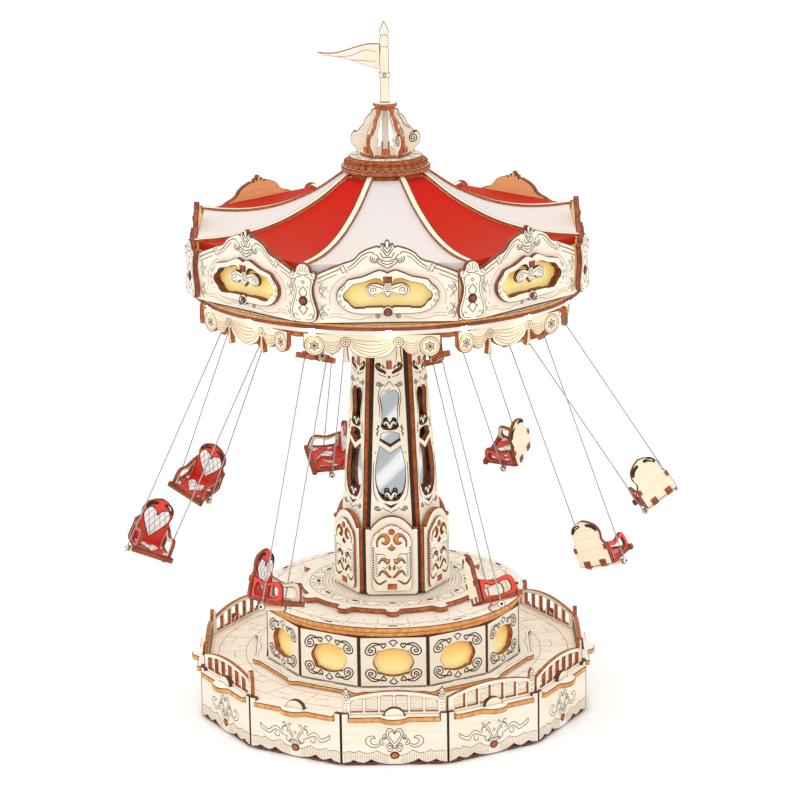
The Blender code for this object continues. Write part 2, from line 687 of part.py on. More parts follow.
def build_crown():
    """Stacked discs, the middle one toothed, the lantern, and the flag pole."""
    bottom, middle, top = CROWN_RADII
    z = CROWN_BOTTOM
    disc = plate("crown_discs", [ring_points(bottom, 32)], z, z + CROWN_LAYER, PLYWOOD)
    teeth = [(r * math.sin(a), -r * math.cos(a)) for r, a in
             ((middle - (0.9 if i % 4 > 1 else 0.0), 2.0 * math.pi * i / 64) for i in range(64))]
    toothed = plate("toothed", [teeth], z + CROWN_LAYER - 0.2, z + 2.0 * CROWN_LAYER, PLYWOOD)
    cap = plate("cap", [ring_points(top, 24)], z + 2.0 * CROWN_LAYER - 0.2, z + 3.0 * CROWN_LAYER, PLYWOOD)
    combine(disc, [toothed, cap])
    foot = z + 3.0 * CROWN_LAYER + GAP
    build_lantern(foot)
    build_flagpole()


def build_lantern(foot):
    """Scrolled brackets leaning to a collar, around a square post."""
    side = [(7.2, 0.0), (9.6, 0.0), (10.6, 2.0), (12.6, 4.6), (12.8, 8.0), (10.6, 8.4), (8.4, 11.0), (6.4, 14.4),
            (4.6, 16.9), (3.0, 16.9), (3.2, 13.6), (5.4, 10.4), (7.6, 6.0)]
    bracket = [(x, foot + y) for x, y in side]
    turn = 360.0 / LANTERN_BRACKETS
    brackets = [outline(f"bracket_{i}", [bracket], 1.6, PLYWOOD, fin_matrix(turn * (i + 0.5)))
                for i in range(LANTERN_BRACKETS)]
    base = plate("lantern", [ring_points(9.4, 24)], foot, foot + 1.0, PLYWOOD)
    collar = plate("collar", [ring_points(COLLAR_RADIUS, 16)], LANTERN_TOP - 2.4, LANTERN_TOP, PLYWOOD)
    post = box("post", (-1.1, -1.1, foot + 0.5), (1.1, 1.1, LANTERN_TOP - 1.0), PLYWOOD)
    combine(base, brackets + [collar, post])


def flag_outline():
    """Pole with beads and a pointed tip, and a waving pennant to its left."""
    half = 0.5 * POLE_WIDTH
    foot = LANTERN_TOP + GAP
    right = [(half, foot), (half, 239.5), (half + 0.5, 240.3), (half, 241.0), (half, 249.8),
             (half - 0.4, 250.6), (half, 253.8), (half - 0.5, 255.0), (half, 257.4), (0.0, POLE_TOP)]
    left = [(-half, 257.4), (-half + 0.5, 255.0), (-half, 253.8), (-half + 0.4, 250.6)]
    upper = [(-half - (FLAG_LENGTH - half) * t, 250.6 + 1.3 * math.sin(4.9 * t + 0.9) - 1.0 * t)
             for t in (0.0, 0.12, 0.25, 0.4, 0.55, 0.7, 0.85, 1.0)]
    lower = [(-half - (FLAG_LENGTH - half) * t, 243.6 + 1.4 * math.sin(4.3 * t - 1.0) + 4.6 * t * t)
             for t in (0.85, 0.7, 0.55, 0.4, 0.25, 0.12, 0.0)]
    end = [(-half, 241.0), (-half - 0.5, 240.3), (-half, 239.5), (-half, foot)]
    return right + left + upper + lower + end


def build_flagpole():
    outline("flagpole", [flag_outline()], PLY, PLYWOOD, board_matrix(0.0, 0.0))


def swing_frame(index):
    """Frame at a swing's pivot: X outward along the yoke, Y up along the threads and Z on the pin."""
    azimuth = 360.0 * (index + 0.5) / SWINGS + UNDER_TURN
    a = math.radians(azimuth)
    b = math.radians(azimuth + YOKE_TURN)
    lag = math.radians(LAG_DEGREES[index])
    outward = Vector((math.sin(b), -math.cos(b), 0.0))
    travel = Vector((math.cos(b), math.sin(b), 0.0))
    down = Vector((0.0, 0.0, -math.cos(lag))) - travel * math.sin(lag)
    pin = outward.cross(-down)
    matrix = Matrix((outward, -down, pin)).transposed().to_4x4()
    matrix.translation = Vector((PIVOT_RADIUS * math.sin(a), -PIVOT_RADIUS * math.cos(a), PIVOT_HEIGHT)) * MM
    return matrix


def build_hanger(name):
    """Yoke, its two cross bars, the two taut threads and the dowel under the seat."""
    half = 0.5 * YOKE_WIDTH
    yoke = mirrored([(0.0, -1.9), (half + 1.0, -1.4), (half + 1.0, 0.6), (2.6, 1.2), (0.0, 1.8)])
    hanger = outline(name, [yoke, ring_points(1.05, 8)], PLY, RED_WOOD)
    pieces = []
    for side in (-1.0, 1.0):
        x = side * half
        pieces.append(box("bar", (x - 1.0, -2.0, -3.3), (x + 1.0, 0.0, 3.3), RED_WOOD))
        pieces.append(rod("thread", (x, -1.0, 0.0), (x, -THREAD_LENGTH, 0.0), THREAD_RADIUS, STEEL, sides=6))
    end = half + 0.6
    dowel = rod("dowel", (-end, -THREAD_LENGTH, 0.0), (end, -THREAD_LENGTH, 0.0), 1.1, PLYWOOD, sides=6)
    return combine(hanger, pieces + [dowel])


def seat_back_outline():
    """Round-shouldered backrest, above the seat board."""
    w = 0.5 * SEAT_WIDTH
    h = SEAT_BACK_HEIGHT
    return mirrored([(0.0, 0.0), (w, 0.0), (w, 0.42 * h), (0.8 * w, 0.52 * h), (0.84 * w, 0.72 * h),
                     (0.62 * w, 0.9 * h), (0.3 * w, 0.96 * h), (0.0, h)])


def arm_outline():
    """Curved armrest seen from the side, from the back to the front."""
    d = SEAT_DEPTH
    return [(0.0, 0.0), (d, 0.0), (d, 1.2), (0.9 * d, 6.4), (0.7 * d, 7.6), (0.45 * d, 6.6), (0.25 * d, 7.4),
            (0.0, 8.2)]


def build_seat(name):
    """Seat board, backrest, armrests and front rail, facing the travel direction."""
    w = 0.5 * SEAT_WIDTH
    d = 0.5 * SEAT_DEPTH
    seat = box(name, (-w, -SEAT_DROP - 0.6, -d), (w, -SEAT_DROP + 0.9, d), RED_WOOD)
    place = Matrix.Translation((0.0, -SEAT_DROP * MM, (d - 0.9) * MM))
    pieces = [outline("back", [seat_back_outline()], 1.6, RED_WOOD, place)]
    across = Matrix(((0.0, 0.0, 1.0), (0.0, 1.0, 0.0), (-1.0, 0.0, 0.0))).to_4x4()
    for side in (-1.0, 1.0):
        place = Matrix.Translation((side * (w - 0.8) * MM, -SEAT_DROP * MM, d * MM))
        pieces.append(outline("arm", [arm_outline()], 1.4, RED_WOOD, place @ across))
    reach = w + RAIL_OVERHANG
    rail = box("rail", (-reach, -SEAT_DROP - 0.6, -d - 0.8), (reach, -SEAT_DROP + 1.4, -d + 1.2), RED_WOOD)
    return combine(seat, pieces + [rail])


def build_swings():
    """Eight swings, each hung from an empty on its pin and turned out by its fling."""
    for index in range(SWINGS):
        pivot = bpy.data.objects.new(f"swing_{index + 1}_pivot", None)
        PARTS.objects.link(pivot)
        fling = Matrix.Rotation(math.radians(FLING_DEGREES[index]), 4, "Z")
        pivot.matrix_world = swing_frame(index) @ fling
        for piece in (build_hanger(f"swing_{index + 1}_hanger"), build_seat(f"swing_{index + 1}_seat")):
            piece.parent = pivot


build_base()
build_fences()
build_drum()
build_column()
build_canopy_floor()
build_friezes()
build_valance()
build_roof()
build_crown()
build_swings()
bpy.context.view_layer.update()
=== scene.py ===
"""Looks of a chair swing ride, a laser-cut plywood model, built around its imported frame.

Drawings are in millimetres in a board's own plane: X to the right, Y up, Z out of its face.
Azimuths are in degrees, 0 at the front (-Y) and counter-clockwise seen from above.
PLY is a board's thickness, GAP the play at a joint, and BEAM how much wider a line burns than it is drawn.
TWELFTH, EIGHTH and SIXTH are the turns between the sides of the base, of the canopy and of the column.
"""
import logging
import math
import random
from collections.abc import Iterable, Sequence
from dataclasses import dataclass, field
from enum import Enum

import bmesh
import bpy
import numpy as np
from mathutils import Matrix, Vector


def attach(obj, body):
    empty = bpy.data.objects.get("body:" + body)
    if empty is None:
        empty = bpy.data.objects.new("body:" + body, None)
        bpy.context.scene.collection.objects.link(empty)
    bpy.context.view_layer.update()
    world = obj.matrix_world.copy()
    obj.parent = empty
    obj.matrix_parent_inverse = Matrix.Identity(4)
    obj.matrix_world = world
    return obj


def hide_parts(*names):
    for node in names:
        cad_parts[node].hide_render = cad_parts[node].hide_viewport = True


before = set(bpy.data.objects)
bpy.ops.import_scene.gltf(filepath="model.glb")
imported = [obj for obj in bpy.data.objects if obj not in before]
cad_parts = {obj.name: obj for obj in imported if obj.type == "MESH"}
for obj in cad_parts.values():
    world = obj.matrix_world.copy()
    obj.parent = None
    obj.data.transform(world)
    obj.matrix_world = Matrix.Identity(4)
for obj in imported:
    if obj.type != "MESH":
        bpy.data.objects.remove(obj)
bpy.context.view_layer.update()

LOG = logging.getLogger("chair_swing_ride")
DICE = random.Random(7)
MM = 0.001
PLY = 2.0
HALF_PLY = 0.5 * PLY
GAP = 0.3
BEAM = 1.35
TWELFTH = 30.0
EIGHTH = 45.0
SIXTH = 60.0

Point = tuple[float, float]
Loop = list[Point]
Colour = tuple[float, float, float]


def arc(cx: float, cy: float, r: float, start: float, end: float, steps: int = 8, ry: float = 0.0) -> Loop:
    """Points on a circle or oval between two angles in degrees.

    Args:
        cx, cy: the centre.
        r: the radius along X.
        start, end: the angles of the first and last points.
        steps: how many stretches it is divided in.
        ry: the radius along Y, the same as r if left at 0.
    Returns:
        The points, from start to end.
    """
    angles = [math.radians(start + (end - start) * i / steps) for i in range(steps + 1)]
    return [(cx + r * math.cos(a), cy + (ry or r) * math.sin(a)) for a in angles]


def ring(cx: float, cy: float, r: float, steps: int = 12, ry: float = 0.0) -> Loop:
    """A closed circle or oval, its first point not repeated."""
    return arc(cx, cy, r, 0.0, 360.0, steps, ry)[:-1]


def disc(r: float, steps: int) -> Loop:
    """A circle around the origin."""
    return ring(0.0, 0.0, r, steps)


def hoop(r: float, steps: int, x: float = 0.0, y: float = 0.0) -> Loop:
    """A circle drawn as a line that ends where it starts."""
    return closed(ring(x, y, r, steps))


def smooth(points: Sequence[Point], steps: int = 4, closed: bool = False) -> Loop:
    """A Catmull-Rom curve through the points.

    Args:
        points: the points that it passes.
        steps: how many stretches between two of them.
        closed: whether the last point joins the first.
    Returns:
        The curve's points.
    """
    p = [np.array(q, float) for q in points]
    p = [p[-1], *p, p[0], p[1]] if closed else [2 * p[0] - p[1], *p, 2 * p[-1] - p[-2]]
    line: Loop = []
    for a, b, c, d in zip(p, p[1:], p[2:], p[3:]):
        for i in range(steps):
            t = i / steps
            q = 0.5 * (2 * b + (c - a) * t + (2 * a - 5 * b + 4 * c - d) * t * t
                       + (3 * b - a - 3 * c + d) * t ** 3)
            line.append((float(q[0]), float(q[1])))
    return line if closed else [*line, tuple(points[-1])]


def moved(lines: Iterable[Loop], x: float = 0.0, y: float = 0.0, size: float = 1.0, turn: float = 0.0,
          flip: float = 1.0) -> list[Loop]:
    """Lines scaled, mirrored across X = 0 if flip is -1, turned and then moved."""
    c, s = math.cos(math.radians(turn)) * size, math.sin(math.radians(turn)) * size
    return [[(x + flip * (c * u - s * v), y + s * u + c * v) for u, v in line] for line in lines]


def both(lines: Iterable[Loop]) -> list[Loop]:
    """The lines and their mirror images across X = 0."""
    lines = list(lines)
    return lines + moved(lines, flip=-1.0)


def pairs(*spots: Point) -> Loop:
    """The spots' mirror images across X = 0, and the spots."""
    return [(s * x, y) for s in (-1, 1) for x, y in spots]


def whole(half: Sequence[Point]) -> Loop:
    """A closed outline from its right half, given from the bottom up."""
    return list(half) + [(-x, y) for x, y in reversed(half) if abs(x) > 1e-6]


def grown(loop: Loop, by: float) -> Loop:
    """Move a closed counter-clockwise outline outward.

    Args:
        loop: the outline.
        by: how far, inward if it is negative.
    Returns:
        The moved outline.
    """
    p = np.array(loop, float)
    along = np.roll(p, -1, 0) - np.roll(p, 1, 0)
    along /= np.linalg.norm(along, axis=1)[:, None] + 1e-9
    out = p + by * np.stack([along[:, 1], -along[:, 0]], 1)
    return [(float(x), float(y)) for x, y in out]


def closed(loop: Loop) -> Loop:
    """The outline as a line that ends where it starts."""
    return [*loop, loop[0]]


def heart(x: float, y: float, w: float, h: float = 0.0) -> Loop:
    """A heart.

    Args:
        x, y: where its point is.
        w, h: its width and height, the same if h is left at 0.
    Returns:
        Its outline.
    """
    h = h or w
    half = smooth([(0, 0), (0.3 * w, 0.36 * h), (0.5 * w, 0.72 * h), (0.36 * w, h), (0.12 * w, 0.95 * h),
                   (0, 0.76 * h)], 3)
    return [(x + u, y + v) for u, v in whole(half)]


def petal(x: float, y: float, w: float, h: float, turn: float = 0.0) -> Loop:
    """A pointed leaf that grows from (x, y)."""
    side = smooth([(0, 0), (0.5 * w, 0.45 * h), (0, h)], 3)
    return moved([side + [(-u, v) for u, v in reversed(side[1:-1])]], x, y, turn=turn)[0]


def volute(x: float, y: float, size: float = 1.0, turn: float = 0.0, flip: float = 1.0) -> list[Loop]:
    """A tapered scroll with its tail to the right.

    Args:
        x, y: the middle of its curl.
        size: the curl's radius.
        turn: how far it is turned, in degrees.
        flip: -1 for its mirror image.
    Returns:
        Its outer and its inner line.
    """
    outer = smooth([(1.85, 1.05), (1.05, 1.3), (0.3, 1.33), (-0.45, 0.8), (-0.9, 0.15), (-0.95, -0.35),
                    (-0.6, -0.8), (0.05, -0.92), (0.65, -0.68), (0.9, -0.1), (0.8, 0.4), (0.4, 0.62)], 3)
    inner = smooth([(1.6, 1.0), (0.85, 0.98), (0.25, 0.72), (-0.2, 0.4), (-0.45, 0.05), (-0.35, -0.28),
                    (0.05, -0.4), (0.35, -0.12), (0.2, 0.2)], 3)
    return moved([outer, inner], x, y, size, turn, flip)


def fan(x: float, y: float, w: float, turn: float = 0.0) -> list[Loop]:
    """A small scalloped fan whose point is at (x, y)."""
    half = [(0, 0), (0.3 * w, 0.38 * w), (0.52 * w, 0.5 * w), (0.36 * w, 0.68 * w), (0.0, 0.84 * w)]
    return moved([closed(whole(half))], x, y, turn=turn)


def upset(lines: Iterable[Loop], middle: float) -> list[Loop]:
    """The lines upside down about a height."""
    return [[(x, 2.0 * middle - y) for x, y in line] for line in lines]


def ribbon(line: Sequence[Point], *widths: float) -> Loop:
    """A closed strip along a smooth line.

    Args:
        line: points of its middle.
        widths: how wide it is, from its start to its end.
    Returns:
        Its outline.
    """
    p = np.array(smooth(line, 3), float)
    along = np.gradient(p, axis=0)
    along /= np.linalg.norm(along, axis=1)[:, None] + 1e-9
    half = 0.5 * np.interp(np.linspace(0.0, 1.0, len(p)), np.linspace(0.0, 1.0, len(widths)), widths)
    side = np.stack([along[:, 1], -along[:, 0]], 1) * half[:, None]
    return [(float(x), float(y)) for x, y in (*(p + side), *(p - side)[::-1])]


def box(x: float, y: float, w: float, h: float) -> Loop:
    """A rectangle around (x, y)."""
    return [(x - 0.5 * w, y - 0.5 * h), (x + 0.5 * w, y - 0.5 * h), (x + 0.5 * w, y + 0.5 * h),
            (x - 0.5 * w, y + 0.5 * h)]


def diamond(x: float, y: float, r: float) -> Loop:
    """A small lozenge around (x, y)."""
    return [(x, y - r), (x + r, y), (x, y + r), (x - r, y)]


class Cut(Enum):
    """Which finish of a piece a face takes."""
    FACE = 0
    EDGE = 1
    BURN = 2
    EXTRA = 3
    REAR = 4


def curve_mesh(loops: Sequence[Loop], thickness: float, bevel: float) -> bpy.types.Mesh:
    """A plate cut to the outer loop and its holes, welded, centred on Z = 0, in millimetres.

    Args:
        loops: the outer loop and the holes in it.
        thickness: the plate's thickness.
        bevel: the width of the scorched chamfer along its edges.
    Returns:
        A new mesh.
    """
    curve = bpy.data.curves.new("cut", "CURVE")
    curve.dimensions = "2D"
    curve.fill_mode = "BOTH"
    curve.extrude = 0.5 * thickness - bevel
    curve.bevel_depth = bevel
    curve.bevel_resolution = 0
    curve.offset = -bevel
    for loop in loops:
        spline = curve.splines.new("POLY")
        spline.points.add(len(loop) - 1)
        for point, (x, y) in zip(spline.points, loop):
            point.co = (x, y, 0.0, 1.0)
        spline.use_cyclic_u = True
    source = bpy.data.objects.new("cut", curve)
    bpy.context.scene.collection.objects.link(source)
    bpy.context.view_layer.update()
    mesh = bpy.data.meshes.new_from_object(source.evaluated_get(bpy.context.evaluated_depsgraph_get()))
    bpy.data.objects.remove(source, do_unlink=True)
    bpy.data.curves.remove(curve)
    work = bmesh.new()
    work.from_mesh(mesh)
    bmesh.ops.remove_doubles(work, verts=work.verts, dist=0.012)
    work.to_mesh(mesh)
    work.free()
    return mesh


@dataclass
class Stock:
    """Growing mesh data in millimetres: points, the grain that each lies in, faces and their finishes."""
    points: list[np.ndarray] = field(default_factory=list)
    grain: list[np.ndarray] = field(default_factory=list)
    faces: list[tuple[int, ...]] = field(default_factory=list)
    slots: list[int] = field(default_factory=list)
    size: int = 0

    def add(self, points: Sequence[Sequence[float]], faces: Iterable[Sequence[int]],
            slot: Cut | Sequence[int], grain: np.ndarray | None = None) -> "Stock":
        """Append a mesh.

        Args:
            points: its points.
            faces: its faces, as numbers of its own points.
            slot: one finish for all of its faces, or a number for each.
            grain: where each point lies in the wood, the points themselves if left out.
        Returns:
            This stock.
        """
        spots = np.asarray(points, float).reshape(-1, 3)
        faces = [tuple(int(i) + self.size for i in face) for face in faces]
        self.points.append(spots)
        self.grain.append(spots if grain is None else grain)
        self.faces += faces
        self.slots += [slot.value] * len(faces) if isinstance(slot, Cut) else list(slot)
        self.size += len(spots)
        return self

    def cut(self, loops: Sequence[Loop], thickness: float = PLY, middle: float = 0.0, bevel: float = 0.24,
            face: Cut = Cut.FACE, edge: Cut = Cut.EDGE, upright: bool = False,
            rear: Cut | None = None) -> "Stock":
        """Append a flat plate cut to an outline, its thickness centred on Z = middle.

        Args:
            loops: the outer loop and the holes in it.
            thickness: the plate's thickness.
            middle: the Z of its middle layer.
            bevel: the width of the scorched chamfer.
            face: the finish of its flat faces.
            edge: the finish of its cut edges.
            upright: whether the grain runs up the board.
            rear: the finish of the flat face at its back, the same as face if left out.
        Returns:
            This stock.
        """
        mesh = curve_mesh(loops, thickness, bevel)
        points = np.empty(len(mesh.vertices) * 3)
        mesh.vertices.foreach_get("co", points)
        points = points.reshape(-1, 3)
        rear = rear or face
        slots = [(face if z > 0.9 else rear if z < -0.9 else edge if abs(z) < 0.2 else Cut.BURN).value
                 for z in (p.normal.z for p in mesh.polygons)]
        faces = [tuple(p.vertices) for p in mesh.polygons]
        bpy.data.meshes.remove(mesh)
        grain = points * (1.0, 1.0, 2.0 / thickness if face is Cut.FACE else 0.3 / thickness)
        if upright:
            grain = grain[:, [1, 0, 2]]
        return self.add(points + (0.0, 0.0, middle), faces, slots, grain)

    def burn(self, lines: Iterable[Loop], width: float = 0.3, z: float = HALF_PLY, slot: Cut = Cut.BURN,
             rise: float = 0.03) -> "Stock":
        """Append engraved lines: slim wedges let into the face, widened by the beam, narrow at their ends.

        Args:
            lines: the lines; one whose ends meet is closed.
            width: how wide the lines are.
            z: the face that they are burnt into.
            slot: their finish.
            rise: how far they stand above the face.
        Returns:
            This stock.
        """
        width *= BEAM
        for line in lines:
            p = np.array(line, float)
            loop = len(p) > 3 and float(np.hypot(*(p[0] - p[-1]))) < 1e-6
            if loop:
                p = p[:-1]
                along = np.roll(p, -1, 0) - np.roll(p, 1, 0)
            else:
                along = np.gradient(p, axis=0)
            n = len(p)
            along /= np.linalg.norm(along, axis=1)[:, None] + 1e-9
            half = np.full(n, 0.5 * width)
            if not loop:
                half[0] = half[-1] = 0.3 * width
            side = np.stack([along[:, 1], -along[:, 0]], 1) * half[:, None]
            top = np.full((n, 1), z + rise)
            points = np.concatenate([np.hstack([p + side, top]), np.hstack([p - side, top]),
                                     np.hstack([p, top - rise - 0.3 * width])])
            faces = []
            for i in range(n if loop else n - 1):
                j = (i + 1) % n
                faces += [(i, j, j + n, i + n), (j, i, i + 2 * n, j + 2 * n),
                          (i + n, j + n, j + 2 * n, i + 2 * n)]
            if not loop:
                faces += [(0, n, 2 * n), (n - 1, 3 * n - 1, 2 * n - 1)]
            self.add(points, faces, slot)
        return self

    def dots(self, spots: Iterable[Point], r: float = 0.25, z: float = HALF_PLY,
             slot: Cut = Cut.BURN) -> "Stock":
        """Append burnt dots: low cones let into the face.

        Args:
            spots: their middles.
            r: their radius before it is widened by the beam.
            z: the face that they are burnt into.
            slot: their finish.
        Returns:
            This stock.
        """
        for x, y in spots:
            rim = [(u, v, z + 0.03) for u, v in ring(x, y, 1.2 * r, 6)]
            self.add([*rim, (x, y, z - 0.3 * r)], [tuple(range(6)), *(((i + 1) % 6, i, 6) for i in range(6))],
                     slot)
        return self

    def inlay(self, loops: Iterable[Loop], z: float = HALF_PLY, slot: Cut = Cut.EDGE,
              rise: float = 0.08) -> "Stock":
        """Append shapes let into the face at height z, such as the ends of tenons.

        Args:
            loops: their outlines.
            z: the face that they are let into.
            slot: their finish.
            rise: how far they stand above the face.
        Returns:
            This stock.
        """
        for loop in loops:
            self.cut([loop], 2.0 * rise, z, 0.03, slot, slot)
        return self

    def place(self, other: "Stock", matrix: Matrix = Matrix.Identity(4)) -> "Stock":
        """Append a copy of other moved by matrix, cut from another spot of the wood.

        Args:
            other: the stock to copy.
            matrix: where it goes, in millimetres.
        Returns:
            This stock.
        """
        m = np.array(matrix)
        spot = np.array((DICE.uniform(-400.0, 400.0), DICE.uniform(-400.0, 400.0), 0.0))
        points = np.concatenate(other.points)
        return self.add(points @ m[:3, :3].T + m[:3, 3], other.faces, other.slots,
                        np.concatenate(other.grain) + spot)

    def lathe(self, profile: Sequence[Point], x: float = 0.0, y: float = 0.0, steps: int = 16,
              slot: Cut = Cut.FACE) -> "Stock":
        """Append a turned solid around the upright line at (x, y).

        Args:
            profile: radius and height from bottom to top, starting and ending on the axis.
            x, y: where the axis stands.
            steps: how many sides it has.
            slot: its finish.
        Returns:
            This stock.
        """
        points = [(x, y, profile[0][1]), (x, y, profile[-1][1])]
        inner = profile[1:-1]
        for r, h in inner:
            points += [(x + u, y + v, h) for u, v in ring(0.0, 0.0, r, steps)]
        faces: list[tuple[int, ...]] = []
        for i in range(steps):
            j = (i + 1) % steps
            faces += [(0, 2 + j, 2 + i)]
            for k in range(len(inner) - 1):
                a, b = 2 + k * steps, 2 + (k + 1) * steps
                faces += [(a + i, a + j, b + j, b + i)]
            last = 2 + (len(inner) - 1) * steps
            faces += [(last + i, last + j, 1)]
        return self.add(points, faces, slot)

    def tube(self, line: Sequence[Sequence[float]], r: float, steps: int = 8,
             slot: Cut = Cut.FACE) -> "Stock":
        """Append a round bar along a line of points.

        Args:
            line: its points.
            r: its radius.
            steps: how many sides it has.
            slot: its finish.
        Returns:
            This stock.
        """
        p = [Vector(q) for q in line]
        points: list[Vector] = []
        for i, q in enumerate(p):
            along = (p[min(i + 1, len(p) - 1)] - p[max(i - 1, 0)]).normalized()
            u = along.cross(Vector((0.31, 0.22, 0.92))).normalized()
            v = along.cross(u)
            points += [q + r * (math.cos(a) * u + math.sin(a) * v)
                       for a in (2.0 * math.pi * k / steps for k in range(steps))]
        n, last = steps, (len(p) - 1) * steps
        faces = [(i * n + k, i * n + (k + 1) % n, (i + 1) * n + (k + 1) % n, (i + 1) * n + k)
                 for i in range(len(p) - 1) for k in range(n)]
        faces += [tuple(reversed(range(n))), tuple(range(last, last + n))]
        return self.add([tuple(q) for q in points], faces, slot)

    def piece(self, name: str, body: str, slot: str, finishes: Sequence[bpy.types.Material],
              replaces: Sequence[str] = (), matrix: Matrix = Matrix.Identity(4)) -> bpy.types.Object:
        """Turn the stock into an object that rides on a body.

        Args:
            name: the object's name.
            body: the body that it rides on.
            slot: the record's material slot; not used.
            finishes: its materials, in the order of Cut.
            replaces: the nodes that it stands for.
            matrix: a last move, in millimetres.
        Returns:
            The object.
        """
        m = np.array(matrix)
        points = (np.concatenate(self.points) @ m[:3, :3].T + m[:3, 3]) * MM
        mesh = bpy.data.meshes.new(name)
        mesh.from_pydata(points.tolist(), [], self.faces)
        mesh.attributes.new("grain", "FLOAT_VECTOR", "POINT").data.foreach_set(
            "vector", np.concatenate(self.grain).astype(np.float32).ravel())
        for finish in finishes:
            mesh.materials.append(finish)
        mesh.polygons.foreach_set("material_index", np.minimum(self.slots, len(finishes) - 1))
        mesh.set_sharp_from_angle(angle=math.radians(32.0))
        mesh.update()
        obj = bpy.data.objects.new(name, mesh)
        bpy.context.scene.collection.objects.link(obj)
        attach(obj, body)
        if replaces:
            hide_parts(*replaces)
        LOG.info("%s: %d faces on %s", name, len(self.faces), body)
        return obj


def dress(node: str, finish: bpy.types.Material) -> None:
    """Give a solid of the frame a finish."""
    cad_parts[node].material_slots[0].material = finish


def board_at(azimuth: float, distance: float, height: float = 0.0, lean: float = 0.0) -> Matrix:
    """Frame of an upright board, X right, Y up and Z outward, in millimetres.

    Args:
        azimuth: where it faces.
        distance: from the axis to its plane.
        height: of its origin.
        lean: how far its top leans inward, in degrees.
    Returns:
        The frame's matrix.
    """
    a = math.radians(azimuth)
    out = Vector((math.sin(a), -math.cos(a), 0.0))
    place = Matrix(((math.cos(a), math.sin(a), 0.0), (0.0, 0.0, 1.0), out)).transposed().to_4x4()
    place.translation = out * distance + Vector((0.0, 0.0, height))
    return place @ Matrix.Rotation(math.radians(-lean), 4, "X")


def fin_at(azimuth: float) -> Matrix:
    """Frame of a radial board, X outward, Y up and Z across."""
    a = math.radians(azimuth)
    return Matrix(((math.sin(a), -math.cos(a), 0.0), (0.0, 0.0, 1.0),
                   (-math.cos(a), -math.sin(a), 0.0))).transposed().to_4x4()


def level(height: float, turn: float = 0.0) -> Matrix:
    """Frame of a level board at a height: X right, Y to the back, Z up."""
    return Matrix.Translation((0.0, 0.0, height)) @ Matrix.Rotation(math.radians(turn), 4, "Z")


def polar(radius: float, azimuth: float) -> Point:
    """A level board's point at a radius and azimuth."""
    a = math.radians(azimuth)
    return radius * math.sin(a), -radius * math.cos(a)


def polygon(radius: float, sides: int, turn: float = 0.0) -> Loop:
    """A regular outline with a flat side to the front, counter-clockwise."""
    return [polar(radius, turn + 360.0 * (i + 0.5) / sides) for i in range(sides)]


def around(side: Loop, sides: int, turn: float = 0.0) -> Loop:
    """A closed level outline from one side's points, repeated around.

    Args:
        side: the points, as (along, outward).
        sides: how many sides there are.
        turn: the first side's azimuth.
    Returns:
        The outline.
    """
    loop: Loop = []
    for i in range(sides):
        a = math.radians(turn + 360.0 * i / sides)
        loop += [(x * math.cos(a) + r * math.sin(a), x * math.sin(a) - r * math.cos(a)) for x, r in side]
    return loop


def apothem(radius: float, sides: int) -> float:
    """Distance from the axis to a regular outline's sides."""
    return radius * math.cos(math.pi / sides)


class Value:
    """A node's output, or a number, on which arithmetic adds Math nodes."""

    def __init__(self, graph: "Graph", socket: bpy.types.NodeSocket) -> None:
        """Wrap a socket of a graph."""
        self.graph, self.socket = graph, socket

    def __add__(self, other: "Value | float") -> "Value":
        """Sum."""
        return self.graph.math("ADD", self, other)

    def __sub__(self, other: "Value | float") -> "Value":
        """Difference."""
        return self.graph.math("SUBTRACT", self, other)

    def __rsub__(self, other: float) -> "Value":
        """Difference from a number."""
        return self.graph.math("SUBTRACT", other, self)

    def __mul__(self, other: "Value | float") -> "Value":
        """Product."""
        return self.graph.math("MULTIPLY", self, other)

    __radd__ = __add__
    __rmul__ = __mul__


